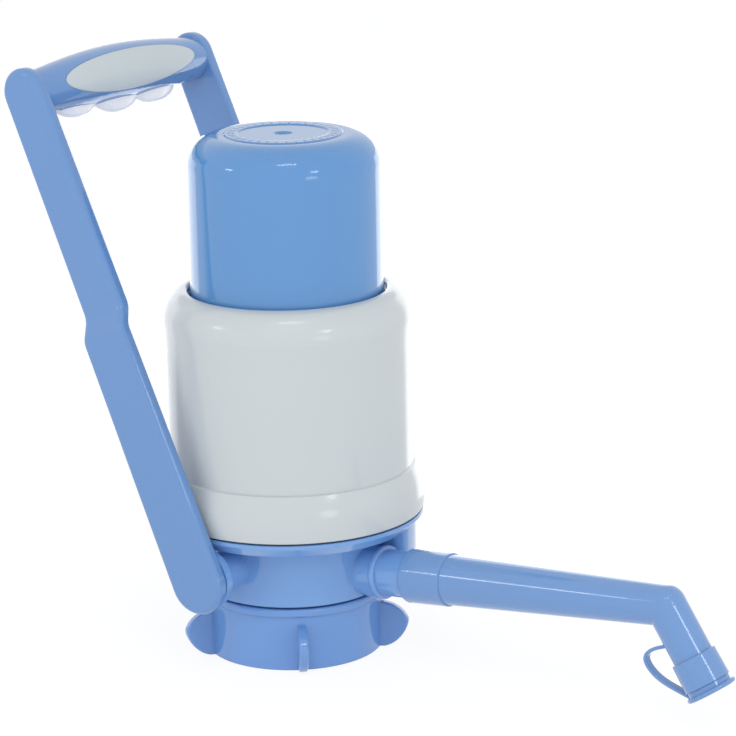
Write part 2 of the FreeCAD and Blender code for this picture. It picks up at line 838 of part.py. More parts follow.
# ----------------------------------------------------------------- press cap
def make_press_cap():
    """Deep cup with a rounded crown, a raised band on top and a stop flange."""
    corner_r = cap_r - cap_top_rounding
    corner_z = cap_top - cap_top_rounding
    inner_rounding = cap_top_rounding - cap_wall
    half = math.sqrt(0.5)
    flange_top_z = cap_bottom + cap_flange_height
    outer_arc = Part.Arc(
        vec(cap_r, 0, corner_z),
        vec(corner_r + cap_top_rounding * half, 0, corner_z + cap_top_rounding * half),
        vec(corner_r, 0, cap_top),
    ).toShape()
    inner_arc = Part.Arc(
        vec(corner_r, 0, cap_roof),
        vec(corner_r + inner_rounding * half, 0, corner_z + inner_rounding * half),
        vec(cap_inner_r, 0, corner_z),
    ).toShape()
    band_outer_r = corner_r - cap_band_margin
    band_inner_r = band_outer_r - cap_band_width
    band_top = cap_top + cap_band_height
    dimple_z = cap_top - cap_dimple_depth
    crown = Part.makePolygon(
        [
            vec(corner_r, 0, cap_top),
            vec(band_outer_r + cap_band_bevel, 0, cap_top),
            vec(band_outer_r, 0, band_top),
            vec(band_inner_r, 0, band_top),
            vec(band_inner_r - cap_band_bevel, 0, cap_top),
            vec(cap_dimple_r, 0, cap_top),
            vec(cap_dimple_r - cap_dimple_bevel, 0, dimple_z),
            vec(0, 0, dimple_z),
            vec(0, 0, cap_roof),
            vec(corner_r, 0, cap_roof),
        ]
    )
    skirt = Part.makePolygon(
        [
            vec(cap_inner_r, 0, corner_z),
            vec(cap_inner_r, 0, cap_bottom),
            vec(cap_flange_r, 0, cap_bottom),
            vec(cap_flange_r, 0, flange_top_z),
            vec(cap_r, 0, flange_top_z),
            vec(cap_r, 0, corner_z),
        ]
    )
    return turned_edges([outer_arc] + crown.Edges + [inner_arc] + skirt.Edges)


def make_top_plate():
    """Plate under the cap's roof that carries the bellows and inlet valve."""
    plate = rod(top_plate_r, top_plate_bottom, top_plate_top)
    wall = tube(top_wall_r, top_wall_r - top_wall_thickness, top_plate_top, cap_roof)
    slot = Part.makeBox(
        top_wall_r + overrun, top_wall_slot, top_wall_height, vec(0, -top_wall_slot / 2, top_plate_top)
    )
    wall = wall.cut(around(slot, screw_count))
    below = top_plate_bottom - overrun
    above = top_plate_top + overrun
    holes = around(rod(inlet_hole_r, below, above, vec(inlet_hole_circle_r, 0, 0)), air_hole_count)
    holes.append(rod(flap_stem_r + flap_stem_gap, below, above))
    return plate.fuse(wall).cut(holes).removeSplitter()


def make_spring_cup():
    """Cup that centres the spring and holds the bellows' top flange."""
    flange = tube(spring_cup_r, spring_cup_hub_bore, spring_cup_bottom, bellows_top_flange_bottom)
    hub = tube(spring_cup_hub_r, spring_cup_hub_bore, spring_cup_bottom, bellows_top)
    wall = tube(
        spring_cup_r,
        spring_cup_r - spring_cup_wall,
        spring_cup_bottom - spring_cup_wall_height,
        spring_cup_bottom,
    )
    return flange.fuse([hub, wall]).removeSplitter()


# ------------------------------------------------------------- return spring
def spring_height(turn, bottom, top):
    """Height of the wire's centre after a number of turns."""
    working_turns = spring_turns - 2 * spring_end_turns
    end_rise = spring_end_turns * spring_end_pitch
    pitch = (top - bottom - 2 * end_rise) / working_turns
    if turn < spring_end_turns:
        return bottom + turn * spring_end_pitch
    if turn > spring_turns - spring_end_turns:
        return top - (spring_turns - turn) * spring_end_pitch
    return bottom + end_rise + (turn - spring_end_turns) * pitch


def make_return_spring():
    """Round-wire compression spring with close-wound ends."""
    bottom = plate_top + spring_wire_r + spring_end_gap
    top = spring_cup_bottom - spring_wire_r - spring_end_gap
    steps_per_turn = 16
    points = []
    for i in range(int(spring_turns * steps_per_turn) + 1):
        turn = i / steps_per_turn
        angle = 2 * math.pi * turn
        z = spring_height(turn, bottom, top)
        points.append(vec(spring_coil_r * math.cos(angle), spring_coil_r * math.sin(angle), z))
    path = Part.BSplineCurve()
    path.interpolate(points)
    start_way = path.tangent(path.FirstParameter)[0]
    circle = Part.Wire([Part.makeCircle(spring_wire_r, points[0], start_way)])
    pipe = Part.BRepOffsetAPI.MakePipeShell(Part.Wire([path.toShape()]))
    pipe.setFrenetMode(True)
    pipe.add(circle)
    pipe.build()
    pipe.makeSolid()
    return pipe.shape()


# ------------------------------------------------------------------- housing
def make_housing_shell():
    """White outer shell: bulged skirt, straight wall and rounded shoulder."""
    wall = housing_wall
    seat_r = rim_r + housing_rim_gap
    roof_rounding_r = housing_shoulder_r - housing_lip_r - housing_lip_rounding
    shoulder_mid = vec(
        housing_lip_r + housing_lip_rounding + roof_rounding_r * math.sqrt(0.5),
        0,
        housing_shoulder_z + (housing_top - housing_shoulder_z) * math.sqrt(0.5),
    )
    shoulder = Part.BSplineCurve()
    shoulder.interpolate(
        [
            vec(housing_shoulder_r, 0, housing_shoulder_z),
            shoulder_mid,
            vec(housing_lip_r + housing_lip_rounding, 0, housing_top),
        ],
        InitialTangent=vec(0, 0, 1),
        FinalTangent=vec(-1, 0, 0),
    )
    lip = Part.Arc(
        vec(housing_lip_r + housing_lip_rounding, 0, housing_top),
        vec(
            housing_lip_r + housing_lip_rounding * (1 - math.sqrt(0.5)),
            0,
            housing_top - housing_lip_rounding * (1 - math.sqrt(0.5)),
        ),
        vec(housing_lip_r, 0, housing_top - housing_lip_rounding),
    ).toShape()
    roof_bottom = housing_top - wall
    inner_shoulder = Part.BSplineCurve()
    inner_mid = shoulder_mid - vec(wall * math.sqrt(0.5), 0, wall * math.sqrt(0.5))
    inner_shoulder.interpolate(
        [
            vec(housing_lip_r + housing_lip_rounding, 0, roof_bottom),
            inner_mid,
            vec(housing_shoulder_r - wall, 0, housing_shoulder_z),
        ],
        InitialTangent=vec(1, 0, 0),
        FinalTangent=vec(0, 0, -1),
    )
    skirt_mid_z = (housing_skirt_bottom + housing_skirt_corner_z) / 2
    skirt_mid = vec(housing_skirt_r + housing_skirt_bulge, 0, skirt_mid_z)
    skirt_face = Part.BSplineCurve()
    skirt_face.interpolate(
        [
            vec(housing_skirt_r, 0, housing_skirt_bottom),
            skirt_mid,
            vec(housing_skirt_r, 0, housing_skirt_corner_z),
            vec(housing_step_r, 0, housing_step_z),
        ]
    )
    down_inside = Part.makePolygon(
        [
            vec(housing_shoulder_r - wall, 0, housing_shoulder_z),
            vec(housing_lower_r - wall, 0, rim_top),
            vec(seat_r, 0, rim_top),
            vec(seat_r, 0, housing_skirt_bottom),
            vec(housing_skirt_r, 0, housing_skirt_bottom),
        ]
    )
    up_outside = Part.makePolygon(
        [
            vec(housing_step_r, 0, housing_step_z),
            vec(housing_lower_r, 0, housing_step_z + housing_step_height),
            vec(housing_upper_r, 0, housing_shoulder_z - housing_swell_height),
            vec(housing_shoulder_r, 0, housing_shoulder_z),
        ]
    )
    lip_inside = Part.makePolygon(
        [
            vec(housing_lip_r, 0, housing_top - housing_lip_rounding),
            vec(housing_lip_r, 0, roof_bottom),
            vec(housing_lip_r + housing_lip_rounding, 0, roof_bottom),
        ]
    )
    edges = [shoulder.toShape(), lip] + lip_inside.Edges + [inner_shoulder.toShape()]
    edges += down_inside.Edges + [skirt_face.toShape()] + up_outside.Edges
    return turned_edges(edges)


def make_guide_sleeve():
    """Sleeve under the housing's roof that guides the press cap."""
    inner_r = cap_r + guide_gap
    return tube(inner_r + guide_wall, inner_r, guide_bottom, housing_top - housing_wall)


# --------------------------------------------------------------------- spout
def make_spout_tube():
    """Tapered tube, mitred elbow and nozzle in one moulding."""
    root_end = spout_root_end + spout_root_sink
    root = rod(spout_root_r, spout_root_start, root_end, OUTLET_ORIGIN, OUTLET_WAY)
    run = cone_rod(
        tube_start_r, tube_end_r, collar_end, elbow_distance, OUTLET_ORIGIN, OUTLET_WAY
    )
    knee = Part.makeSphere(tube_end_r, ELBOW_POINT)
    nozzle = rod(nozzle_r, 0, nozzle_end, ELBOW_POINT, NOZZLE_WAY)
    body = root.fuse([run, knee, nozzle])
    bore_r = outlet_spigot_r + spout_bore_gap
    bore_end = outlet_spigot_end + spout_bore_end_gap
    hollow = rod(bore_r, spout_root_start - overrun, bore_end, OUTLET_ORIGIN, OUTLET_WAY)
    run_hollow = cone_rod(
        bore_r, tube_end_r - tube_wall, bore_end, elbow_distance, OUTLET_ORIGIN, OUTLET_WAY
    )
    knee_hollow = Part.makeSphere(nozzle_bore_r + knee_bore_step, ELBOW_POINT)
    nozzle_hollow = rod(nozzle_bore_r, 0, nozzle_end + overrun, ELBOW_POINT, NOZZLE_WAY)
    return body.cut([hollow, run_hollow, knee_hollow, nozzle_hollow]).removeSplitter()


def make_spout_collar():
    """Sleeve over the tube's root."""
    outside = cone_rod(
        collar_start_r, collar_end_r, collar_start, collar_end, OUTLET_ORIGIN, OUTLET_WAY
    )
    ends = circular_edges(outside, collar_start_r) + circular_edges(outside, collar_end_r)
    outside = outside.makeFillet(collar_rounding, ends)
    inside = rod(
        spout_root_r + collar_fit,
        collar_start - overrun,
        collar_end + overrun,
        OUTLET_ORIGIN,
        OUTLET_WAY,
    )
    return outside.cut(inside)


def make_spout_oring():
    middle_r = outlet_spigot_r + spout_bore_gap - oring_gap - oring_section_r
    return Part.makeTorus(
        middle_r, oring_section_r, OUTLET_ORIGIN + OUTLET_WAY * oring_position, OUTLET_WAY
    )


def make_nozzle_sleeve():
    """Thicker end sleeve of the nozzle, with a lip that holds the stopper."""
    outside = cone_rod(
        sleeve_start_r, sleeve_end_r, sleeve_start, sleeve_end, ELBOW_POINT, NOZZLE_WAY
    )
    start_edge = circular_edges(outside, sleeve_start_r)
    outside = outside.makeFillet(sleeve_rounding, start_edge)
    over = rod(nozzle_r + sleeve_fit, sleeve_start - overrun, nozzle_end, ELBOW_POINT, NOZZLE_WAY)
    mouth = rod(sleeve_lip_r, nozzle_end - overrun, sleeve_end + overrun, ELBOW_POINT, NOZZLE_WAY)
    return outside.cut([over, mouth])


def make_stopper():
    """Hollow plug with a shoulder and a flat disc head."""
    plug = rod(stopper_plug_r, stopper_plug_start, stopper_disc_start, ELBOW_POINT, NOZZLE_WAY)
    hollow = rod(
        stopper_plug_r - stopper_wall,
        stopper_plug_start - overrun,
        sleeve_end,
        ELBOW_POINT,
        NOZZLE_WAY,
    )
    shoulder_start = sleeve_end + stopper_shoulder_gap
    shoulder = rod(
        stopper_shoulder_r, shoulder_start, stopper_disc_start, ELBOW_POINT, NOZZLE_WAY
    )
    disc = rod(stopper_disc_r, stopper_disc_start, stopper_disc_end, ELBOW_POINT, NOZZLE_WAY)
    disc = disc.makeFillet(stopper_disc_rounding, circular_edges(disc, stopper_disc_r))
    return plug.cut(hollow).fuse([shoulder, disc]).removeSplitter()


def make_stopper_strap():
    """Flat looped strap between the nozzle and the stopper's disc."""
    half = strap_thickness / 2
    run = (stopper_disc_start + stopper_disc_end) / 2 - strap_start
    points = []
    for share, stand in strap_path:
        along = NOZZLE_WAY * (strap_start + run * share)
        points.append(ELBOW_POINT + along + NOZZLE_BACK * (nozzle_r + stand))
    centre = Part.BSplineCurve()
    centre.interpolate(points)
    steps = 40
    sides = {1: [], -1: []}
    for i in range(steps + 1):
        at = centre.FirstParameter + (centre.LastParameter - centre.FirstParameter) * i / steps
        way = centre.tangent(at)[0]
        normal = way.cross(ACROSS)
        for sign in sides:
            sides[sign].append(centre.value(at) + normal * (half * sign))
    curves = []
    for sign in sides:
        curve = Part.BSplineCurve()
        curve.interpolate(sides[sign])
        curves.append(curve.toShape())
    caps = [
        Part.makeLine(sides[1][0], sides[-1][0]),
        Part.makeLine(sides[1][-1], sides[-1][-1]),
    ]
    face = Part.Face(Part.Wire([curves[0], caps[1], curves[1], caps[0]]))
    band = face.extrude(ACROSS * strap_width)
    band.translate(ACROSS * (-strap_width / 2))
    nozzle = rod(nozzle_r, 0, nozzle_end, ELBOW_POINT, NOZZLE_WAY)
    sleeve_r = sleeve_end_r + strap_gap
    sleeve = rod(sleeve_r, sleeve_start - strap_gap, sleeve_end, ELBOW_POINT, NOZZLE_WAY)
    disc = rod(stopper_disc_r, stopper_disc_start, stopper_disc_end, ELBOW_POINT, NOZZLE_WAY)
    return band.cut([nozzle, sleeve, disc])


# -------------------------------------------------------------------- handle
def corner_arc(centre_x, centre_y, radius, out_x, out_y):
    """Quarter round of an arm's section, from its front or back to its side."""
    share = math.sqrt(0.5)
    return Part.Arc(
        vec(centre_x, centre_y + out_y * radius, 0),
        vec(centre_x + out_x * radius * share, centre_y + out_y * radius * share, 0),
        vec(centre_x + out_x * radius, centre_y, 0),
    ).toShape()


def arm_section(width, inner_y, z, full=True):
    """Cross-section of the -Y arm, or its front half, at a height above the pivot."""
    half = width / 2
    outer_y = inner_y + arm_thickness
    outer_x = half - arm_outer_rounding
    inner_x = half - arm_inner_rounding
    outer_corner_y = arm_outer_rounding - outer_y
    inner_corner_y = -arm_inner_rounding - inner_y
    back_outer_x = -outer_x if full else 0
    back_inner_x = -inner_x if full else 0
    edges = [
        Part.makeLine(vec(back_outer_x, -outer_y, 0), vec(outer_x, -outer_y, 0)),
        corner_arc(outer_x, outer_corner_y, arm_outer_rounding, 1, -1),
        Part.makeLine(vec(half, outer_corner_y, 0), vec(half, inner_corner_y, 0)),
        corner_arc(inner_x, inner_corner_y, arm_inner_rounding, 1, 1),
        Part.makeLine(vec(inner_x, -inner_y, 0), vec(back_inner_x, -inner_y, 0)),
    ]
    if full:
        edges.append(corner_arc(-inner_x, inner_corner_y, arm_inner_rounding, -1, 1))
        edges.append(Part.makeLine(vec(-half, inner_corner_y, 0), vec(-half, outer_corner_y, 0)))
        edges.append(corner_arc(-outer_x, outer_corner_y, arm_outer_rounding, -1, -1))
    else:
        edges.append(Part.makeLine(vec(0, -inner_y, 0), vec(0, -outer_y, 0)))
    wire = Part.Wire(Part.__sortEdges__(edges))
    wire.translate(vec(pivot_x - arm_set_back, 0, pivot_z + z))
    return wire


def arm_end(width, inner_y, z, way):
    """Rounded end of the -Y arm: half a section turned about Y."""
    centre = vec(pivot_x - arm_set_back, 0, pivot_z + z)
    return Part.Face(arm_section(width, inner_y, z, False)).revolve(centre, way, 180)


def joggle_line():
    """Heights and inner faces of the arm through its joggle, with rounded bends."""
    rise = arm_joggle_end - arm_joggle_start
    shift = arm_inner_y - arm_upper_inner_y
    lean = math.atan2(shift, rise)
    reach = arm_bend_r * math.tan(lean / 2)
    low = []
    high = []
    for i in range(arm_bend_steps + 1):
        turn = lean * i / arm_bend_steps
        along = arm_bend_r * math.sin(turn) - reach
        aside = arm_bend_r * (1 - math.cos(turn))
        low.append((arm_joggle_start + along, arm_inner_y - aside))
        high.append((arm_joggle_end - along, arm_upper_inner_y + aside))
    return low + high[::-1]


def handle_arm():
    """One upright arm on the -Y side with its pivot pin."""
    line = joggle_line()
    root = (arm_root_width, arm_inner_y, -arm_root_drop)
    top = (arm_top_width, arm_upper_inner_y, arm_top_centre)
    taper = (arm_upper_width - arm_lower_width) / (line[-1][0] - line[0][0])
    bend = [(arm_lower_width + taper * (z - line[0][0]), y, z) for z, y in line]
    lower = Part.makeLoft([arm_section(*root), arm_section(*bend[0])], True, True)
    joggle = Part.makeLoft([arm_section(*station) for station in bend], True, False)
    upper = Part.makeLoft([arm_section(*bend[-1]), arm_section(*top)], True, True)
    foot_end = arm_end(*root, ACROSS)
    top_end = arm_end(*top, -ACROSS)
    pin = rod(pivot_pin_r, pivot_pin_end, arm_inner_y + pivot_pin_sink, PIVOT, -ACROSS)
    return lower.fuse([joggle, upper, foot_end, top_end, pin]).removeSplitter()


def half_oval(half_width, height):
    """Half an oval across X, above its middle, or below it where the height is negative."""
    stretch = FreeCAD.Matrix()
    stretch.scale(half_width, 1, abs(height))
    side = math.copysign(1, height)
    arc = Part.Arc(vec(-1, 0, 0), vec(0, 0, side), vec(1, 0, 0)).toShape()
    return arc.transformGeometry(stretch).Edges[0]


def grip_section(y, half_width, over_height, under_height):
    """Cross-section of the grip at one place along it, flatter below than above."""
    halves = [half_oval(half_width, over_height), half_oval(half_width, -under_height)]
    wire = Part.Wire(Part.__sortEdges__(halves))
    wire.translate(vec(pivot_x, y, pivot_z + grip_centre))
    return wire


def grip_bar(shrink):
    """Barrel-shaped bar between the arms, smaller all over by a margin."""
    end_y = arm_upper_inner_y + grip_sink
    end_sizes = (grip_end_half_width, grip_end_half_height, grip_end_under_height)
    mid_sizes = (grip_mid_half_width, grip_mid_half_height, grip_mid_under_height)
    shares = (grip_quarter_width_share, grip_quarter_height_share, grip_quarter_height_share)
    quarter_sizes = [e + (m - e) * share for e, m, share in zip(end_sizes, mid_sizes, shares)]
    stations = [
        (-end_y, end_sizes),
        (-end_y / 2, quarter_sizes),
        (0, mid_sizes),
        (end_y / 2, quarter_sizes),
        (end_y, end_sizes),
    ]
    sections = [grip_section(y, *(size - shrink for size in sizes)) for y, sizes in stations]
    return Part.makeLoft(sections, True, False)


def inlay_prism():
    """Oval prism through the grip's front that bounds the inlay."""
    turn = math.radians(inlay_tilt)
    out = vec(math.cos(turn), 0, math.sin(turn))
    centre = vec(pivot_x, 0, pivot_z + grip_centre - inlay_drop) + out * inlay_start
    side = ACROSS * inlay_half_length
    up = vec(-math.sin(turn), 0, math.cos(turn)) * inlay_half_width
    ellipse = Part.Ellipse(centre + side, centre + up, centre)
    return Part.Face(Part.Wire([ellipse.toShape()])).extrude(out * 2 * grip_mid_half_width)


def pad_lobes():
    """Rounded bumps between the fingers along the grip's underside."""
    lobes = []
    for y, drop in lobe_places:
        matrix = FreeCAD.Matrix()
        matrix.scale(lobe_half_width, lobe_half_length, lobe_half_height)
        lobe = Part.makeSphere(1.0).transformGeometry(matrix)
        lobe.translate(vec(pivot_x + lobe_forward, y, pivot_z + grip_centre - drop))
        lobes.append(lobe)
    return lobes[0].fuse(lobes[1:])


def lobed_pad():
    """Finger pad: the lobes below the pad's floor, joined by a spine inside the grip."""
    floor = pivot_z + grip_centre - pad_floor
    depth = lobe_half_height + max(drop for _, drop in lobe_places)
    reach = lobe_forward + lobe_half_width + overrun
    end_reach = lobe_half_length + overrun
    first = min(y for y, _ in lobe_places)
    run = max(y for y, _ in lobe_places) - first
    below = Part.makeBox(
        2 * reach,
        run + 2 * end_reach,
        depth,
        vec(pivot_x - reach, first - end_reach, floor - depth),
    )
    spine = Part.makeBox(
        2 * pad_spine_half_width,
        run,
        pad_spine_thickness,
        vec(pivot_x - pad_spine_half_width, first, floor - pad_spine_thickness),
    )
    return pad_lobes().common(below).fuse(spine).removeSplitter()


def finger_groove_cutters():
    """Round cutters across the bar that leave a finger groove near each arm."""
    half = grip_mid_half_width + overrun
    cutters = []
    for y, depth in finger_grooves:
        start = vec(pivot_x - half, y, pivot_z + grip_centre - depth - finger_groove_r)
        cutters.append(Part.makeCylinder(finger_groove_r, 2 * half, start, vec(1, 0, 0)))
    return cutters


def make_handle_parts():
    """Handle frame, grip inlay and finger pad at the handle's rest angle."""
    bar = grip_bar(0)
    inner_bar = grip_bar(inlay_depth)
    prism = inlay_prism()
    pad = lobed_pad()
    inlay = grip_bar(-inlay_rise).common(prism).cut(inner_bar)
    core = bar.cut([pad, prism.cut(inner_bar)] + finger_groove_cutters())
    arm = handle_arm()
    frame = core.fuse([arm, mirrored(arm)])
    return lean_back(frame), lean_back(inlay), lean_back(pad)


# -------------------------------------------------------------------- export
def build_all():
    handle_frame, grip_inlay, finger_pad = make_handle_parts()
    return {
        "base_body": make_base_body(),
        "neck_nut": make_neck_nut(),
        "nut_retaining_ring": make_nut_retaining_ring(),
        "neck_seal": make_neck_seal(),
        "intake_elbow": make_intake_elbow(),
        "plate_gasket": make_plate_gasket(),
        "valve_plate": make_valve_plate(),
        "air_valve_flap": valve_flap(flap_r, plate_bottom, plate_top),
        "bellows": make_bellows(),
        "bellows_clamp_ring": make_clamp_ring(),
        "ring_screws": make_ring_screws(),
        "return_spring": make_return_spring(),
        "spring_cup": make_spring_cup(),
        "top_plate": make_top_plate(),
        "inlet_valve_flap": valve_flap(inlet_flap_r, top_plate_bottom, top_plate_top),
        "press_cap": make_press_cap(),
        "housing_shell": make_housing_shell(),
        "cap_guide_sleeve": make_guide_sleeve(),
        "spout_oring": make_spout_oring(),
        "spout_collar": make_spout_collar(),
        "spout_tube": make_spout_tube(),
        "nozzle_sleeve": make_nozzle_sleeve(),
        "stopper": make_stopper(),
        "stopper_strap": make_stopper_strap(),
        "handle_frame": handle_frame,
        "grip_inlay": grip_inlay,
        "finger_pad": finger_pad,
    }


os.makedirs("parts", exist_ok=True)
for node, shape in build_all().items():
    box = shape.BoundBox
    print(
        node,
        "solids", len(shape.Solids),
        "valid", shape.isValid(),
        "volume", round(shape.Volume, 1),
        "x", round(box.XMin, 1), round(box.XMax, 1),
        "y", round(box.YMin, 1), round(box.YMax, 1),
        "z", round(box.ZMin, 1), round(box.ZMax, 1),
    )
    shape.exportStep(os.path.join("parts", node + ".step"))
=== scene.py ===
import math

import bpy
from bpy.props import FloatProperty, FloatVectorProperty, IntProperty, PointerProperty
from bpy.types import Operator, Panel, PropertyGroup
from mathutils import Matrix, Vector


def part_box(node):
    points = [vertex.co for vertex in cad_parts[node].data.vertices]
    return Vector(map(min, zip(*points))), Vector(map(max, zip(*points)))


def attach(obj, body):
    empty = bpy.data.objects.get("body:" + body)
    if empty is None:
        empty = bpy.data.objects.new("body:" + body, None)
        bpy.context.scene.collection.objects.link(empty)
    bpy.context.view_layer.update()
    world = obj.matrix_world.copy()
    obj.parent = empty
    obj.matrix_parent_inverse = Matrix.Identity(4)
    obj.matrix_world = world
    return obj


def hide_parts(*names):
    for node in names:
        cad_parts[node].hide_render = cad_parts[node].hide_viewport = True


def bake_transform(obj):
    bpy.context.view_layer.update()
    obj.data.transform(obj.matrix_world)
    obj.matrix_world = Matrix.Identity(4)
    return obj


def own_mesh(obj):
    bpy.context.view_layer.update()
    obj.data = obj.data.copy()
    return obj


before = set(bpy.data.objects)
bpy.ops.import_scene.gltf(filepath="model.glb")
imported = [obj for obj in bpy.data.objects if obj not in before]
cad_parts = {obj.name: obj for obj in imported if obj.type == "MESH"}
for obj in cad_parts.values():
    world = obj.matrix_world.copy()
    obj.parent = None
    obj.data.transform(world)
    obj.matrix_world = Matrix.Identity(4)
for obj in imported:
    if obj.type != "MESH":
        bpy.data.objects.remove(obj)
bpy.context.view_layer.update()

bl_info = {
    "name": "Water jug hand pump",
    "version": (1, 0, 0),
    "blender": (4, 5, 0),
    "location": "View3D > Sidebar > Hand Pump",
    "description": "Dresses the pump's packed parts with soft pieces, fine details and finishes",
    "category": "Object",
}

MM = 0.001
QUARTER_TURN = math.pi / 2
FULL_TURN = math.tau
WHITE = (1.0, 1.0, 1.0, 1.0)

# How finely turned shapes are divided, and how near points are when they are merged.
RING_SIDES = 128
WIRE_SIDES = 14
COIL_STEPS = 32
THREAD_STEPS = 120
MERGE = 0.000001
WIRE_MERGE = 0.00001

# Outlet line of the spout and the nozzle's line, in the pump's own frame.
OUTLET_HEIGHT = 30.05 * MM
OUTLET_TILT = math.radians(4.6)
ELBOW_DISTANCE = 155.0 * MM
NOZZLE_DROP = math.radians(56.4)
ELBOW = Vector((
    ELBOW_DISTANCE * math.cos(OUTLET_TILT),
    0.0,
    OUTLET_HEIGHT + ELBOW_DISTANCE * math.sin(OUTLET_TILT),
))
NOZZLE_WAY = Vector((math.cos(NOZZLE_DROP), 0.0, -math.sin(NOZZLE_DROP)))
NOZZLE_BACK = Vector((-math.sin(NOZZLE_DROP), 0.0, -math.cos(NOZZLE_DROP)))

# The finish of each node that comes from the CAD.
NODE_FINISHES = {
    "cap_guide_sleeve": "cap_blue",
    "press_cap": "cap_blue",
    "handle_frame": "handle_blue",
    "base_body": "base_blue",
    "neck_nut": "nut_blue",
    "spout_collar": "spout_blue",
    "spout_tube": "spout_blue",
    "nozzle_sleeve": "spout_blue",
    "stopper": "spout_blue",
    "stopper_strap": "spout_blue",
    "housing_shell": "shell_white",
    "finger_pad": "pad_white",
    "grip_inlay": "inlay_grey",
    "nut_retaining_ring": "moulding_white",
    "intake_elbow": "moulding_white",
    "valve_plate": "moulding_white",
    "bellows_clamp_ring": "moulding_white",
    "spring_cup": "moulding_white",
    "top_plate": "moulding_white",
    "plate_gasket": "seal_rubber",
    "air_valve_flap": "seal_rubber",
    "inlet_valve_flap": "seal_rubber",
    "spout_oring": "seal_rubber",
    "neck_seal": "seal_rubber",
    "bellows": "bellows_rubber",
    "return_spring": "drawn_steel",
    "ring_screws": "drawn_steel",
}


# ------------------------------------------------------------- user settings
PRESSED_SHARE = "Height left when the cap is fully down, as a share of the free height"


def length(name, description, default):
    """A length in metres shown with its unit."""
    return FloatProperty(
        name=name,
        description=description,
        default=default,
        min=0.0,
        unit="LENGTH",
        subtype="DISTANCE",
        precision=5,
    )


def portion(name, description, default, low=0.0):
    """A share of one."""
    return FloatProperty(
        name=name, description=description, default=default, min=low, max=1.0, subtype="FACTOR"
    )


def turn_count(name, description, default, low, high):
    """A number of turns, whole or not."""
    return FloatProperty(name=name, description=description, default=default, min=low, max=high)


def power(name, description, default):
    """A lamp's power in watts."""
    return FloatProperty(name=name, description=description, default=default, min=0.0, unit="POWER")


def colour(name, description, default):
    """A linear colour."""
    return FloatVectorProperty(
        name=name,
        description=description,
        default=default,
        size=3,
        min=0.0,
        max=1.0,
        subtype="COLOR",
    )


class PumpBellowsSettings(PropertyGroup):
    crest_radius: length("Crest radius", "Middle of the skin at a fold's crest", 29.0 * MM)
    valley_radius: length("Valley radius", "Middle of the skin at a fold's valley", 23.0 * MM)
    top_hole_radius: length("Top hole radius", "Hole that the spring cup's hub fills", 12.4 * MM)
    flange_radius: length("Flange radius", "Flat flange under the clamp ring", 36.9 * MM)
    skin: length("Skin", "Thickness of the rubber", 0.9 * MM)
    flange: length("Flange thickness", "Thickness of both end flanges", 1.5 * MM)
    folds: IntProperty(name="Folds", description="Number of folds", default=11, min=2, max=30)
    pressed_share: portion("Pressed share", PRESSED_SHARE, 0.641, low=0.1)


class PumpSpringSettings(PropertyGroup):
    wire_radius: length("Wire radius", "Radius of the spring's wire", 1.0 * MM)
    turns: turn_count("Turns", "Turns from end to end", 12.0, 4.0, 30.0)
    end_turns: turn_count("End turns", "Close-wound turns at each end", 1.25, 0.5, 3.0)
    end_pitch: length("End pitch", "Rise of one close-wound turn", 2.15 * MM)
    pressed_share: portion("Pressed share", PRESSED_SHARE, 0.6316, low=0.1)


class PumpStrapSettings(PropertyGroup):
    width: length("Width", "Strap's width across the nozzle", 3.1 * MM)
    thickness: length("Thickness", "Strap's thickness", 1.35 * MM)
    rounding: length("Rounding", "Radius of the strap's long edges", 0.35 * MM)


class PumpNeckSettings(PropertyGroup):
    thread_turns: turn_count("Thread turns", "Turns of the nut's thread", 1.6, 0.5, 4.0)
    thread_pitch: length("Thread pitch", "Rise of the thread in one turn", 4.2 * MM)
    thread_height: length("Thread height", "How far the thread stands into the bore", 0.9 * MM)
    thread_width: length("Thread width", "Thread's width at its root", 1.8 * MM)
    thread_start: length("Thread start", "Height of the thread's first end", 2.6 * MM)
    bore_radius: length("Bore radius", "Radius of the nut's bore", 27.8 * MM)
    seal_rib: length("Seal rib", "Height of the ribs on the seal's face", 0.45 * MM)


class PumpCrownSettings(PropertyGroup):
    tick_count: IntProperty(
        name="Ticks", description="Raised ticks round the crown", default=36, min=4, max=120
    )
    tick_radius: length("Tick radius", "Middle of the ring of ticks", 18.45 * MM)
    tick_length: length("Tick length", "Length of a tick along the radius", 2.6 * MM)
    tick_width: length("Tick width", "Width of a tick", 0.8 * MM)
    tick_height: length("Tick height", "Height of a tick over the raised band", 0.04 * MM)


class PumpColours(PropertyGroup):
    cap: colour("Cap", "Press cap", (0.104, 0.276, 0.575))
    handle: colour("Handle", "Handle frame", (0.134, 0.276, 0.562))
    # Base and nut: their own blue, brightened further to make up for the light that the low parts lack;
    # that brightening is painted light.
    base: colour("Base", "Base body", (0.175, 0.355, 0.690))
    nut: colour("Nut", "Neck nut", (0.152, 0.318, 0.655))
    spout: colour("Spout", "Spout, collar, nozzle and stopper", (0.152, 0.300, 0.595))
    shell: colour("Shell", "White housing", (0.552, 0.592, 0.606))
    inlay: colour("Inlay", "Soft inlay on the grip", (0.540, 0.600, 0.625))
    # Pad: its own white, raised close to full white to make up for the light its underside lacks; that
    # raise is painted light.
    pad: colour("Pad", "Finger pad under the grip", (0.960, 0.960, 0.990))
    moulding: colour("Moulding", "White parts inside the pump", (0.700, 0.710, 0.700))
    rubber: colour("Rubber", "Seals and valve flaps", (0.240, 0.245, 0.250))
    bellows: colour("Bellows", "Bellows rubber", (0.560, 0.570, 0.540))
    steel: colour("Steel", "Spring and screws", (0.560, 0.560, 0.555))


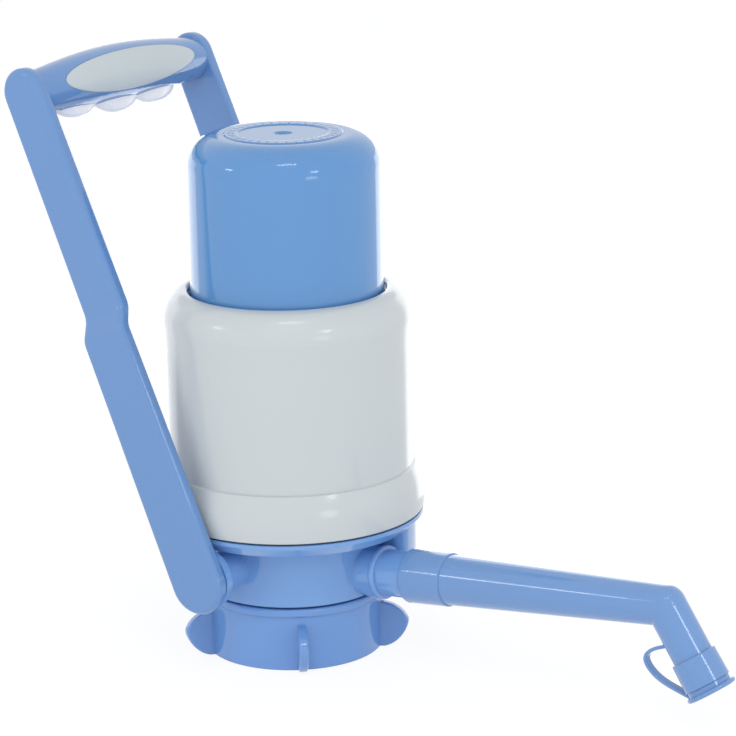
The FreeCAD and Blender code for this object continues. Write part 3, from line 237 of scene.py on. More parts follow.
class PumpStageSettings(PropertyGroup):
    ambient: FloatProperty(
        name="Ambient", description="Strength of the soft all-round light", default=0.73, min=0.0
    )
    key: power("Key", "Power of the big soft lamp", 8.5)
    bar: power("Bar", "Power of the small bar lamp", 1.00)
    side_bar: power("Side bar", "Power of the small lamp on the left", 0.55)
    window: power("Window", "Power of the low lamp on the right", 0.60)
    glint: power("Glint", "Power of the small lamp that streaks the nozzle", 0.50)
    fill: power("Fill", "Power of each of the two low lamps at the sides", 1.6)
    rim: power("Rim", "Power of each of the two lamps behind, seen as white rims", 0.16)
    floor_shadow: portion("Floor shadow", "Share of the floor's own shading that the camera sees", 0.16)


# ------------------------------------------------------------------- helpers
def deselect_all():
    """Leaves edit mode and clears the selection."""
    if bpy.context.mode != "OBJECT":
        bpy.ops.object.mode_set(mode="OBJECT")
    bpy.ops.object.select_all(action="DESELECT")


def pick(piece):
    """Selects one piece alone and makes it the active one."""
    deselect_all()
    piece.select_set(True)
    bpy.context.view_layer.objects.active = piece


def settle(name):
    """Names the primitive that was just added and puts its place in its mesh."""
    piece = bpy.context.object
    piece.name = name
    piece.data.name = name
    bpy.ops.object.transform_apply(location=True, rotation=True, scale=True)
    return piece


def begin(name):
    """Settles the primitive that was just added and opens it for editing, all selected."""
    piece = settle(name)
    bpy.ops.object.mode_set(mode="EDIT")
    bpy.ops.mesh.select_all(action="SELECT")
    return piece


def close_mesh():
    """Leaves edit mode with doubles merged and faces turned outwards."""
    bpy.ops.mesh.select_all(action="SELECT")
    bpy.ops.mesh.remove_doubles(threshold=MERGE)
    bpy.ops.mesh.normals_make_consistent(inside=False)
    bpy.ops.object.mode_set(mode="OBJECT")


def fill_open_ends():
    """Closes each open edge loop with a face, in edit mode."""
    bpy.ops.mesh.select_mode(type="EDGE")
    bpy.ops.mesh.select_all(action="DESELECT")
    bpy.ops.mesh.select_non_manifold()
    bpy.ops.mesh.edge_face_add()


def smooth(piece, degrees):
    """Smooth shading that keeps creases sharper than an angle."""
    pick(piece)
    bpy.ops.object.shade_smooth_by_angle(angle=math.radians(degrees))


def apply_modifier(piece, kind, **settings):
    """Adds one modifier with its settings and applies it."""
    modifier = piece.modifiers.new(kind.title(), kind)
    for key, value in settings.items():
        setattr(modifier, key, value)
    bpy.context.view_layer.objects.active = piece
    bpy.ops.object.modifier_apply(modifier=modifier.name)


def round_edges(piece, width, degrees):
    """Rounds the edges that are sharper than an angle."""
    apply_modifier(
        piece,
        "BEVEL",
        width=width,
        segments=2,
        limit_method="ANGLE",
        angle_limit=math.radians(degrees),
    )


def put_finish(piece, material):
    """Gives a modelled piece its one material."""
    piece.data.materials.clear()
    piece.data.materials.append(bpy.data.materials[material])


def finish_piece(piece, body, material):
    """Gives a modelled piece its finish and hangs it on its body."""
    put_finish(piece, material)
    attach(piece, body)


def ring_profile(name, points):
    """Closed ring turned about the pump's axis from (radius, height) points."""
    deselect_all()
    first_r, first_z = points[0]
    bpy.ops.mesh.primitive_circle_add(
        vertices=RING_SIDES, radius=first_r, location=(0, 0, first_z), fill_type="NOTHING"
    )
    piece = begin(name)
    r, z = first_r, first_z
    for next_r, next_z in points[1:] + points[:1]:
        bpy.ops.mesh.extrude_region_move(TRANSFORM_OT_translate={"value": (0, 0, next_z - z)})
        share = next_r / r
        bpy.ops.transform.resize(value=(share, share, 1), center_override=(0, 0, next_z))
        r, z = next_r, next_z
    close_mesh()
    return piece


# ------------------------------------------------------------- shader groups
# Weight of the fine mottle beside the slow tone, and the middle of the two together.
MOTTLE_SHARE = 0.35
TONE_MIDDLE = 0.5 * (1 + MOTTLE_SHARE)
# The part of a noise's range that is used.
NOISE_LOW = 0.3
NOISE_HIGH = 0.7
# How far corners are softened, and the cosines where wear starts and is full.
EDGE_SOFTNESS = 0.5 * MM
WEAR_STARTS = 0.995
WEAR_FULL = 0.82
# The least upward lean of a dusty face, and the noise that makes grains of dust.
DUSTY_LEAN = 0.35
GRAIN_LOW = 0.45
GRAIN_HIGH = 0.75


def new_group(name, inputs, outputs):
    """Empty shader group with named inputs and outputs."""
    group = bpy.data.node_groups.new(name, "ShaderNodeTree")
    for socket_name, kind, default in inputs:
        socket = group.interface.new_socket(name=socket_name, in_out="INPUT", socket_type=kind)
        socket.default_value = default
    for socket_name, kind in outputs:
        group.interface.new_socket(name=socket_name, in_out="OUTPUT", socket_type=kind)
    entry = group.nodes.new("NodeGroupInput")
    entry.location = (-900, 0)
    leave = group.nodes.new("NodeGroupOutput")
    leave.location = (700, 0)
    return group, entry, leave


def add_node(tree, kind, place, **settings):
    """Adds a node at a place and sets its properties and input values."""
    node = tree.nodes.new(kind)
    node.location = place
    for key, value in settings.items():
        if key == "inputs":
            for socket, number in value.items():
                node.inputs[socket].default_value = number
        else:
            setattr(node, key, value)
    return node


def build_moulded_tone():
    """Slow uneven tone and fine mottle of coloured plastic."""
    group, entry, leave = new_group(
        "Moulded tone",
        [
            ("Colour", "NodeSocketColor", (0.5, 0.5, 0.5, 1.0)),
            ("Unevenness", "NodeSocketFloat", 0.05),
            ("Cloud scale", "NodeSocketFloat", 14.0),
            ("Mottle scale", "NodeSocketFloat", 900.0),
        ],
        [("Colour", "NodeSocketColor")],
    )
    link = group.links.new
    place = add_node(group, "ShaderNodeTexCoord", (-900, -220))
    cloud = add_node(group, "ShaderNodeTexNoise", (-660, 120), inputs={"Detail": 3.0, "Roughness": 0.55})
    mottle = add_node(group, "ShaderNodeTexNoise", (-660, -160), inputs={"Detail": 2.0, "Roughness": 0.6})
    both = add_node(
        group, "ShaderNodeMath", (-420, 0), operation="MULTIPLY_ADD", inputs={1: MOTTLE_SHARE}
    )
    centre = add_node(group, "ShaderNodeMath", (-240, 0), operation="SUBTRACT", inputs={1: TONE_MIDDLE})
    amount = add_node(group, "ShaderNodeMath", (-60, 0), operation="MULTIPLY")
    value = add_node(group, "ShaderNodeMath", (120, 0), operation="ADD", inputs={1: 1.0})
    tone = add_node(group, "ShaderNodeHueSaturation", (320, 60))
    link(place.outputs["Object"], cloud.inputs["Vector"])
    link(place.outputs["Object"], mottle.inputs["Vector"])
    link(entry.outputs["Cloud scale"], cloud.inputs["Scale"])
    link(entry.outputs["Mottle scale"], mottle.inputs["Scale"])
    link(mottle.outputs["Fac"], both.inputs[0])
    link(cloud.outputs["Fac"], both.inputs[2])
    link(both.outputs[0], centre.inputs[0])
    link(centre.outputs[0], amount.inputs[0])
    link(entry.outputs["Unevenness"], amount.inputs[1])
    link(amount.outputs[0], value.inputs[0])
    link(value.outputs[0], tone.inputs["Value"])
    link(entry.outputs["Colour"], tone.inputs["Color"])
    link(tone.outputs["Color"], leave.inputs["Colour"])
    return group


def build_moulded_skin():
    """Faint orange peel and flow waves of a moulded surface, with its gloss."""
    group, entry, leave = new_group(
        "Moulded skin",
        [
            ("Peel scale", "NodeSocketFloat", 420.0),
            ("Wave scale", "NodeSocketFloat", 45.0),
            ("Wave share", "NodeSocketFloat", 0.5),
            ("Gloss low", "NodeSocketFloat", 0.14),
            ("Gloss high", "NodeSocketFloat", 0.22),
        ],
        [("Height", "NodeSocketFloat"), ("Roughness", "NodeSocketFloat")],
    )
    link = group.links.new
    place = add_node(group, "ShaderNodeTexCoord", (-900, -220))
    peel = add_node(group, "ShaderNodeTexNoise", (-660, 160), inputs={"Detail": 2.0, "Roughness": 0.5})
    wave = add_node(
        group, "ShaderNodeTexNoise", (-660, -120), inputs={"Detail": 1.0, "Distortion": 0.6}
    )
    mix = add_node(group, "ShaderNodeMix", (-360, 60), data_type="FLOAT")
    gloss = add_node(
        group, "ShaderNodeMapRange", (-120, -160), inputs={"From Min": NOISE_LOW, "From Max": NOISE_HIGH}
    )
    link(place.outputs["Object"], peel.inputs["Vector"])
    link(place.outputs["Object"], wave.inputs["Vector"])
    link(entry.outputs["Peel scale"], peel.inputs["Scale"])
    link(entry.outputs["Wave scale"], wave.inputs["Scale"])
    link(entry.outputs["Wave share"], mix.inputs["Factor"])
    link(peel.outputs["Fac"], mix.inputs["A"])
    link(wave.outputs["Fac"], mix.inputs["B"])
    link(mix.outputs["Result"], leave.inputs["Height"])
    link(wave.outputs["Fac"], gloss.inputs["Value"])
    link(entry.outputs["Gloss low"], gloss.inputs["To Min"])
    link(entry.outputs["Gloss high"], gloss.inputs["To Max"])
    link(gloss.outputs["Result"], leave.inputs["Roughness"])
    return group


def build_edge_rub():
    """Mask of rubbed edges and a normal with softly rounded corners."""
    group, entry, leave = new_group(
        "Edge rub",
        [
            ("Amount", "NodeSocketFloat", 1.0),
            ("Breakup scale", "NodeSocketFloat", 160.0),
        ],
        [("Mask", "NodeSocketFloat"), ("Normal", "NodeSocketVector")],
    )
    link = group.links.new
    place = add_node(group, "ShaderNodeTexCoord", (-900, -260))
    breakup = add_node(group, "ShaderNodeTexNoise", (-660, -200), inputs={"Detail": 4.0})
    bevel = add_node(group, "ShaderNodeBevel", (-660, 140), samples=4, inputs={"Radius": EDGE_SOFTNESS})
    geometry = add_node(group, "ShaderNodeNewGeometry", (-660, 320))
    match = add_node(group, "ShaderNodeVectorMath", (-420, 200), operation="DOT_PRODUCT")
    edge = add_node(
        group, "ShaderNodeMapRange", (-200, 200), inputs={"From Min": WEAR_STARTS, "From Max": WEAR_FULL}
    )
    rub = add_node(group, "ShaderNodeMath", (20, 120), operation="MULTIPLY")
    scaled = add_node(group, "ShaderNodeMath", (220, 60), operation="MULTIPLY", use_clamp=True)
    link(place.outputs["Object"], breakup.inputs["Vector"])
    link(entry.outputs["Breakup scale"], breakup.inputs["Scale"])
    link(bevel.outputs["Normal"], match.inputs[0])
    link(geometry.outputs["Normal"], match.inputs[1])
    link(match.outputs["Value"], edge.inputs["Value"])
    link(edge.outputs["Result"], rub.inputs[0])
    link(breakup.outputs["Fac"], rub.inputs[1])
    link(rub.outputs[0], scaled.inputs[0])
    link(entry.outputs["Amount"], scaled.inputs[1])
    link(scaled.outputs[0], leave.inputs["Mask"])
    link(bevel.outputs["Normal"], leave.inputs["Normal"])
    return group


def build_dust():
    """Mask of thin dust that lies on upward faces."""
    group, entry, leave = new_group(
        "Dust",
        [
            ("Amount", "NodeSocketFloat", 0.05),
            ("Speck scale", "NodeSocketFloat", 700.0),
        ],
        [("Mask", "NodeSocketFloat")],
    )
    link = group.links.new
    place = add_node(group, "ShaderNodeTexCoord", (-900, -200))
    speck = add_node(group, "ShaderNodeTexNoise", (-660, -140), inputs={"Detail": 5.0, "Roughness": 0.7})
    geometry = add_node(group, "ShaderNodeNewGeometry", (-660, 160))
    split = add_node(group, "ShaderNodeSeparateXYZ", (-440, 160))
    up = add_node(
        group, "ShaderNodeMapRange", (-220, 160), inputs={"From Min": DUSTY_LEAN, "From Max": 1.0}
    )
    grains = add_node(
        group, "ShaderNodeMapRange", (-220, -120), inputs={"From Min": GRAIN_LOW, "From Max": GRAIN_HIGH}
    )
    both = add_node(group, "ShaderNodeMath", (20, 40), operation="MULTIPLY")
    scaled = add_node(group, "ShaderNodeMath", (220, 20), operation="MULTIPLY", use_clamp=True)
    link(place.outputs["Object"], speck.inputs["Vector"])
    link(entry.outputs["Speck scale"], speck.inputs["Scale"])
    link(geometry.outputs["Normal"], split.inputs[0])
    link(split.outputs["Z"], up.inputs["Value"])
    link(speck.outputs["Fac"], grains.inputs["Value"])
    link(up.outputs["Result"], both.inputs[0])
    link(grains.outputs["Result"], both.inputs[1])
    link(both.outputs[0], scaled.inputs[0])
    link(entry.outputs["Amount"], scaled.inputs[1])
    link(scaled.outputs[0], leave.inputs["Mask"])
    return group


def shader_groups():
    """The shared effects, built once."""
    makers = {
        "Moulded tone": build_moulded_tone,
        "Moulded skin": build_moulded_skin,
        "Edge rub": build_edge_rub,
        "Dust": build_dust,
    }
    return {name: bpy.data.node_groups.get(name) or make() for name, make in makers.items()}


def place_group(tree, groups, name, place, **values):
    """Adds a shared effect with its own values, given with _ for a space."""
    node = add_node(tree, "ShaderNodeGroup", place, node_tree=groups[name])
    for socket, value in values.items():
        node.inputs[socket.replace("_", " ")].default_value = value
    return node


# ----------------------------------------------------------------- materials
DUST_COLOUR = (0.72, 0.72, 0.70, 1.0)
DUST_DULLING = 0.5
RUB_LIFT = 0.03
COAT_ROUGHNESS = 0.06

# Stretch of the drawing lines, shade of the dull patches, and depth of the lines.
STEEL_STRETCH = 12.0
STEEL_SHADE = 0.82
STEEL_RELIEF = 0.02 * MM

# The look that all plastics share, unless they say otherwise.
PLASTIC_LOOK = {
    "unevenness": 0.06,
    "cloud": 14.0,
    "mottle": 900.0,
    "peel": 420.0,
    "wave": 45.0,
    "wave_share": 0.5,
    "relief": 0.02 * MM,
    "relief_strength": 0.25,
    "gloss_low": 0.07,
    "gloss_high": 0.12,
    "rub": 0.35,
    "rub_tint": 1.25,
    "dust": 0.04,
    "coat": 0.25,
    "ior": 1.5,
}

# Each plastic's colour setting and its own look.
PLASTICS = {
    "cap_blue": ("cap", {}),
    "handle_blue": ("handle", {}),
    "base_blue": ("base", {}),
    "nut_blue": ("nut", {}),
    "spout_blue": ("spout", {}),
    "crown_blue": ("cap", {"gloss_low": 0.24, "gloss_high": 0.32, "coat": 0.0, "rub": 0.1}),
    "shell_white": (
        "shell",
        {
            "unevenness": 0.025,
            "rub": 0.2,
            "rub_tint": 1.1,
            "gloss_low": 0.16,
            "gloss_high": 0.22,
            "coat": 0.1,
        },
    ),
    "pad_white": ("pad", {"unevenness": 0.03, "gloss_low": 0.18, "gloss_high": 0.26, "rub": 0.2}),
    "inlay_grey": (
        "inlay",
        {
            "unevenness": 0.04,
            "peel": 2600.0,
            "wave_share": 0.1,
            "relief": 0.04 * MM,
            "relief_strength": 0.5,
            "gloss_low": 0.42,
            "gloss_high": 0.52,
            "coat": 0.0,
            "rub": 0.15,
        },
    ),
    "moulding_white": (
        "moulding",
        {"unevenness": 0.05, "peel": 1200.0, "gloss_low": 0.34, "gloss_high": 0.46, "coat": 0.0},
    ),
}

# Each rubber's colour setting, roughness and depth of skin.
RUBBERS = {
    "seal_rubber": ("rubber", 0.5, 0.04 * MM),
    "bellows_rubber": ("bellows", 0.42, 0.03 * MM),
}
RUBBER_GLOSS_SPREAD = 0.12


def new_material(name):
    """Material with an empty node tree, a Principled shader and an output."""
    material = bpy.data.materials.new(name)
    material.use_nodes = True
    tree = material.node_tree
    tree.nodes.clear()
    shader = add_node(tree, "ShaderNodeBsdfPrincipled", (500, 0))
    output = add_node(tree, "ShaderNodeOutputMaterial", (820, 0))
    tree.links.new(shader.outputs["BSDF"], output.inputs["Surface"])
    return material, tree, shader


def plastic(name, base, groups, **finish):
    """Moulded plastic: uneven tone, fine skin, pale rubbed edges and thin dust."""
    look = {**PLASTIC_LOOK, **finish}
    tree, shader = new_material(name)[1:]
    link = tree.links.new
    tone = place_group(
        tree,
        groups,
        "Moulded tone",
        (-520, 220),
        Colour=(*base, 1.0),
        Unevenness=look["unevenness"],
        Cloud_scale=look["cloud"],
        Mottle_scale=look["mottle"],
    )
    skin = place_group(
        tree,
        groups,
        "Moulded skin",
        (-520, -120),
        Peel_scale=look["peel"],
        Wave_scale=look["wave"],
        Wave_share=look["wave_share"],
        Gloss_low=look["gloss_low"],
        Gloss_high=look["gloss_high"],
    )
    rub = place_group(tree, groups, "Edge rub", (-520, -360), Amount=look["rub"])
    dust = place_group(tree, groups, "Dust", (-520, -540), Amount=look["dust"])
    pale = tuple(min(1.0, channel * look["rub_tint"] + RUB_LIFT) for channel in base)
    worn = add_node(tree, "ShaderNodeMix", (-200, 200), data_type="RGBA")
    worn.inputs["B"].default_value = (*pale, 1.0)
    dusty = add_node(tree, "ShaderNodeMix", (40, 200), data_type="RGBA")
    dusty.inputs["B"].default_value = DUST_COLOUR
    dull = add_node(tree, "ShaderNodeMath", (40, -60), operation="MULTIPLY_ADD", inputs={1: DUST_DULLING})
    bump = add_node(
        tree,
        "ShaderNodeBump",
        (220, -260),
        inputs={"Strength": look["relief_strength"], "Distance": look["relief"]},
    )
    link(tone.outputs["Colour"], worn.inputs["A"])
    link(rub.outputs["Mask"], worn.inputs["Factor"])
    link(worn.outputs["Result"], dusty.inputs["A"])
    link(dust.outputs["Mask"], dusty.inputs["Factor"])
    link(dusty.outputs["Result"], shader.inputs["Base Color"])
    link(dust.outputs["Mask"], dull.inputs[0])
    link(skin.outputs["Roughness"], dull.inputs[2])
    link(dull.outputs[0], shader.inputs["Roughness"])
    link(skin.outputs["Height"], bump.inputs["Height"])
    link(rub.outputs["Normal"], bump.inputs["Normal"])
    link(bump.outputs["Normal"], shader.inputs["Normal"])
    shader.inputs["IOR"].default_value = look["ior"]
    shader.inputs["Coat Weight"].default_value = look["coat"]
    shader.inputs["Coat Roughness"].default_value = COAT_ROUGHNESS


def rubber(name, base, groups, roughness, relief):
    """Soft rubber: dull, slightly mottled, with a fine blasted skin."""
    plastic(
        name,
        base,
        groups,
        unevenness=0.12,
        cloud=30.0,
        mottle=1500.0,
        peel=1400.0,
        wave_share=0.15,
        relief=relief,
        relief_strength=0.6,
        gloss_low=roughness,
        gloss_high=roughness + RUBBER_GLOSS_SPREAD,
        rub=0.5,
        rub_tint=1.35,
        dust=0.15,
        coat=0.0,
    )


def drawn_steel(name, base):
    """Bright steel with fine drawing lines and small dull patches."""
    tree, shader = new_material(name)[1:]
    link = tree.links.new
    place = add_node(tree, "ShaderNodeTexCoord", (-900, 0))
    stretch = add_node(tree, "ShaderNodeMapping", (-720, 0))
    stretch.inputs["Scale"].default_value = (1.0, 1.0, STEEL_STRETCH)
    lines = add_node(tree, "ShaderNodeTexNoise", (-500, 120), inputs={"Scale": 260.0, "Detail": 4.0})
    patches = add_node(tree, "ShaderNodeTexNoise", (-500, -160), inputs={"Scale": 60.0, "Detail": 3.0})
    tint = add_node(tree, "ShaderNodeMix", (-160, 160), data_type="RGBA")
    tint.inputs["A"].default_value = (*(channel * STEEL_SHADE for channel in base), 1.0)
    tint.inputs["B"].default_value = (*base, 1.0)
    rough = add_node(
        tree,
        "ShaderNodeMapRange",
        (-160, -120),
        inputs={"From Min": NOISE_LOW, "From Max": NOISE_HIGH, "To Min": 0.22, "To Max": 0.42},
    )
    bump = add_node(
        tree, "ShaderNodeBump", (160, -260), inputs={"Strength": 0.3, "Distance": STEEL_RELIEF}
    )
    link(place.outputs["Object"], stretch.inputs["Vector"])
    link(stretch.outputs["Vector"], lines.inputs["Vector"])
    link(place.outputs["Object"], patches.inputs["Vector"])
    link(patches.outputs["Fac"], tint.inputs["Factor"])
    link(tint.outputs["Result"], shader.inputs["Base Color"])
    link(patches.outputs["Fac"], rough.inputs["Value"])
    link(rough.outputs["Result"], shader.inputs["Roughness"])
    link(lines.outputs["Fac"], bump.inputs["Height"])
    link(bump.outputs["Normal"], shader.inputs["Normal"])
    shader.inputs["Metallic"].default_value = 1.0


class PUMP_OT_finishes(Operator):
    """Build every finish and put it on the parts that come from the CAD"""

    bl_idname = "pump.finishes"
    bl_label = "Finishes"

    def execute(self, context):
        colours = context.scene.pump_colours
        groups = shader_groups()
        for name, (setting, look) in PLASTICS.items():
            plastic(name, tuple(getattr(colours, setting)), groups, **look)
        for name, (setting, roughness, relief) in RUBBERS.items():
            rubber(name, tuple(getattr(colours, setting)), groups, roughness, relief)
        drawn_steel("drawn_steel", tuple(colours.steel))
        for node, finish in NODE_FINISHES.items():
            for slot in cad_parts[node].material_slots:
                slot.material = bpy.data.materials[finish]
        return {"FINISHED"}


# ------------------------------------------------------------ modelled pieces
# Shares of a fold's height where its valley and its crest lie, and half of the crest's
# flat on the outside and on the inside of the skin.
VALLEY_SHARE = 0.12
CREST_SHARE = 0.5
CREST_FLAT_OUTSIDE = 0.6 * MM
CREST_FLAT_INSIDE = 0.3 * MM
FOLD_ROUNDING = 0.35 * MM


class PUMP_OT_bellows(Operator):
    """Model the folded bellows with rounded folds"""

    bl_idname = "pump.bellows"
    bl_label = "Bellows"

    def execute(self, context):
        size = context.scene.pump_bellows
        low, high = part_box("bellows")
        start = low.z + size.flange
        end = high.z - size.flange
        fold = (end - start) / size.folds
        half = size.skin / 2
        valley_outside = size.valley_radius + half
        valley_inside = size.valley_radius - half
        crest_outside = size.crest_radius + half
        crest_inside = size.crest_radius - half
        outer = [(size.flange_radius, low.z), (size.flange_radius, start), (valley_outside, start)]
        inner = [(valley_inside, low.z)]
        for i in range(size.folds):
            valley = start + fold * (i + VALLEY_SHARE)
            crest = start + fold * (i + CREST_SHARE)
            outer.append((valley_outside, valley))
            outer.append((crest_outside, crest - CREST_FLAT_OUTSIDE))
            outer.append((crest_outside, crest + CREST_FLAT_OUTSIDE))
            inner.append((valley_inside, valley))
            inner.append((crest_inside, crest - CREST_FLAT_INSIDE))
            inner.append((crest_inside, crest + CREST_FLAT_INSIDE))
        last_valley = end - VALLEY_SHARE * fold
        outer += [(valley_outside, last_valley), (valley_outside, high.z)]
        outer += [(size.top_hole_radius, high.z), (size.top_hole_radius, end)]
        inner += [(valley_inside, last_valley), (valley_inside, end)]
        piece = ring_profile("bellows_skin", outer + inner[::-1])
        round_edges(piece, FOLD_ROUNDING, degrees=25)
        smooth(piece, degrees=60)
        finish_piece(piece, "base", "bellows_rubber")
        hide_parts("bellows")
        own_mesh(piece)
        return {"FINISHED"}


class PUMP_OT_spring(Operator):
    """Model the return spring with close-wound ends"""

    bl_idname = "pump.spring"
    bl_label = "Return spring"

    def execute(self, context):
        size = context.scene.pump_spring
        low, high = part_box("return_spring")
        coil_radius = high.x - size.wire_radius
        bottom = low.z + size.wire_radius
        top = high.z - size.wire_radius
        end_rise = size.end_turns * size.end_pitch
        middle_turns = size.turns - 2 * size.end_turns
        stretches = (
            (0.0, bottom, size.end_turns, end_rise),
            (size.end_turns, bottom + end_rise, middle_turns, top - bottom - 2 * end_rise),
            (size.turns - size.end_turns, top - end_rise, size.end_turns, end_rise),
        )
        coils = [self.coil(size.wire_radius, coil_radius, *stretch) for stretch in stretches]
        piece = coils[0]
        pick(piece)
        for coil in coils[1:]:
            coil.select_set(True)
        bpy.ops.object.join()
        piece.name = "return_spring_coil"
        piece.data.name = "return_spring_coil"
        bpy.ops.object.mode_set(mode="EDIT")
        bpy.ops.mesh.select_all(action="SELECT")
        bpy.ops.mesh.remove_doubles(threshold=WIRE_MERGE)
        fill_open_ends()
        close_mesh()
        smooth(piece, degrees=50)
        finish_piece(piece, "base", "drawn_steel")
        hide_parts("return_spring")
        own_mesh(piece)
        return {"FINISHED"}

    def coil(self, wire_radius, coil_radius, turns_before, start, turns, rise):
        """One stretch of open wire tube with an even pitch."""
        angle = FULL_TURN * turns_before
        deselect_all()
        bpy.ops.mesh.primitive_circle_add(
            vertices=WIRE_SIDES,
            radius=wire_radius,
            location=(coil_radius * math.cos(angle), coil_radius * math.sin(angle), start),
            rotation=(QUARTER_TURN, 0, angle),
            fill_type="NOTHING",
        )
        piece = settle("coil")
        steps = round(turns * COIL_STEPS)
        apply_modifier(
            piece,
            "SCREW",
            angle=FULL_TURN * turns,
            screw_offset=rise,
            steps=steps,
            render_steps=steps,
        )
        return piece


# Strap's middle line: distance along the nozzle and behind its axis, in millimetres.
STRAP_LINE = (
    (12.2, 6.7),
    (11.4, 9.6),
    (10.9, 12.6),
    (11.2, 15.4),
    (12.4, 17.3),
    (15.2, 17.8),
    (19.4, 16.8),
    (23.3, 14.5),
    (27.9, 10.7),
    (31.6, 7.6),
)
# How often the band is subdivided.
STRAP_FINENESS = 2


class PUMP_OT_strap(Operator):
    """Model the stopper's flat strap as one bent band"""

    bl_idname = "pump.strap"
    bl_label = "Stopper strap"

    def execute(self, context):
        size = context.scene.pump_strap
        line = [ELBOW + NOZZLE_WAY * (a * MM) + NOZZLE_BACK * (b * MM) for a, b in STRAP_LINE]
        ways = []
        for i in range(len(line)):
            before = line[max(i - 1, 0)]
            after = line[min(i + 1, len(line) - 1)]
            ways.append((after - before).normalized())
        deselect_all()
        bpy.ops.mesh.primitive_plane_add(size=1.0)
        piece = bpy.context.object
        piece.scale = (size.thickness, size.width, 1.0)
        bpy.ops.object.transform_apply(location=False, rotation=False, scale=True)
        piece.rotation_mode = "QUATERNION"
        piece.rotation_quaternion = Vector((0, 0, 1)).rotation_difference(ways[0])
        piece.location = line[0]
        begin("stopper_strap_band")
        for i in range(1, len(line)):
            bpy.ops.mesh.extrude_region_move(
                TRANSFORM_OT_translate={"value": tuple(line[i] - line[i - 1])}
            )
            swing = ways[i - 1].cross(ways[i]).y
            angle = math.asin(max(-1.0, min(1.0, swing)))
            bpy.ops.transform.rotate(
                value=-angle, orient_axis="Y", center_override=tuple(line[i])
            )
        close_mesh()
        round_edges(piece, size.rounding, degrees=50)
        apply_modifier(piece, "SUBSURF", levels=STRAP_FINENESS, render_levels=STRAP_FINENESS)
        smooth(piece, degrees=60)
        put_finish(piece, "spout_blue")
        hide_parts("stopper_strap")
        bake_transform(piece)
        return {"FINISHED"}


# How deep the thread is let into the nut, its crest's share of its root's width, and
# how far from the crest a point still belongs to it.
THREAD_SUNK = 0.4 * MM
THREAD_CREST_SHARE = 0.45
THREAD_CREST_REACH = 0.1 * MM

# The seal's bore, and the number and half width of its ribs at the root and at the top.
SEAL_BORE_RADIUS = 20.8 * MM
SEAL_RIBS = 2
RIB_ROOT = 1.2 * MM
RIB_TOP = RIB_ROOT / 3


class PUMP_OT_neck(Operator):
    """Model the nut's thread and the ribbed seal above it"""

    bl_idname = "pump.neck"
    bl_label = "Neck thread and seal"

    def execute(self, context):
        size = context.scene.pump_neck
        self.thread(size)
        self.seal(size)
        return {"FINISHED"}

    def thread(self, size):
        """One helical ridge inside the nut's bore."""
        deselect_all()
        bpy.ops.mesh.primitive_plane_add(
            size=1.0, rotation=(QUARTER_TURN, 0, 0), location=(size.bore_radius, 0, size.thread_start)
        )
        piece = bpy.context.object
        piece.scale = (size.thread_height + THREAD_SUNK, size.thread_width, 1.0)
        begin("neck_thread")
        bpy.ops.transform.translate(value=((THREAD_SUNK - size.thread_height) / 2, 0, 0))
        crest = size.bore_radius - size.thread_height
        bpy.ops.mesh.select_mode(type="VERT")
        bpy.ops.mesh.select_all(action="DESELECT")
        bpy.ops.object.mode_set(mode="OBJECT")
        for vertex in piece.data.vertices:
            vertex.select = vertex.co.x < crest + THREAD_CREST_REACH
        bpy.ops.object.mode_set(mode="EDIT")
        bpy.ops.transform.resize(
            value=(1, 1, THREAD_CREST_SHARE), center_override=(crest, 0, size.thread_start)
        )
        bpy.ops.object.mode_set(mode="OBJECT")
        apply_modifier(
            piece,
            "SCREW",
            angle=FULL_TURN * size.thread_turns,
            screw_offset=size.thread_pitch * size.thread_turns,
            steps=THREAD_STEPS,
            render_steps=THREAD_STEPS,
            use_merge_vertices=True,
        )
        pick(piece)
        bpy.ops.object.mode_set(mode="EDIT")
        fill_open_ends()
        close_mesh()
        smooth(piece, degrees=35)
        finish_piece(piece, "nut", "nut_blue")

    def seal(self, size):
        """Flat seal with raised sealing ribs on its lower face."""
        low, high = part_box("neck_seal")
        outer = high.x
        face = low.z + size.seal_rib
        step = (outer - SEAL_BORE_RADIUS) / (SEAL_RIBS + 1)
        profile = [(SEAL_BORE_RADIUS, high.z), (SEAL_BORE_RADIUS, face)]
        for i in range(SEAL_RIBS):
            middle = SEAL_BORE_RADIUS + step * (i + 1)
            profile += [
                (middle - RIB_ROOT, face),
                (middle - RIB_TOP, low.z),
                (middle + RIB_TOP, low.z),
                (middle + RIB_ROOT, face),
            ]
        profile += [(outer, face), (outer, high.z)]
        piece = ring_profile("neck_seal_ribbed", profile)
        smooth(piece, degrees=50)
        finish_piece(piece, "base", "seal_rubber")
        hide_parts("neck_seal")


# How deep a tick is let into the cap, and how its edges are rounded.
TICK_SUNK = 0.2 * MM
TICK_ROUNDING = 0.08 * MM


class PUMP_OT_crown_ticks(Operator):
    """Model the ring of raised ticks on the cap's crown"""

    bl_idname = "pump.crown_ticks"
    bl_label = "Crown ticks"

    def execute(self, context):
        size = context.scene.pump_crown
        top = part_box("press_cap")[1].z
        height = size.tick_height + TICK_SUNK
        deselect_all()
        bpy.ops.mesh.primitive_cube_add(
            size=1.0, location=(size.tick_radius, 0, top + size.tick_height - height / 2)
        )
        piece = bpy.context.object
        piece.scale = (size.tick_length, size.tick_width, height)
        begin("crown_ticks")
        bpy.ops.mesh.bevel(offset=TICK_ROUNDING, segments=2)
        bpy.ops.mesh.select_all(action="SELECT")
        bpy.ops.mesh.spin(
            steps=size.tick_count, dupli=True, angle=FULL_TURN, center=(0, 0, 0), axis=(0, 0, 1)
        )
        close_mesh()
        smooth(piece, degrees=40)
        finish_piece(piece, "cap", "crown_blue")
        return {"FINISHED"}


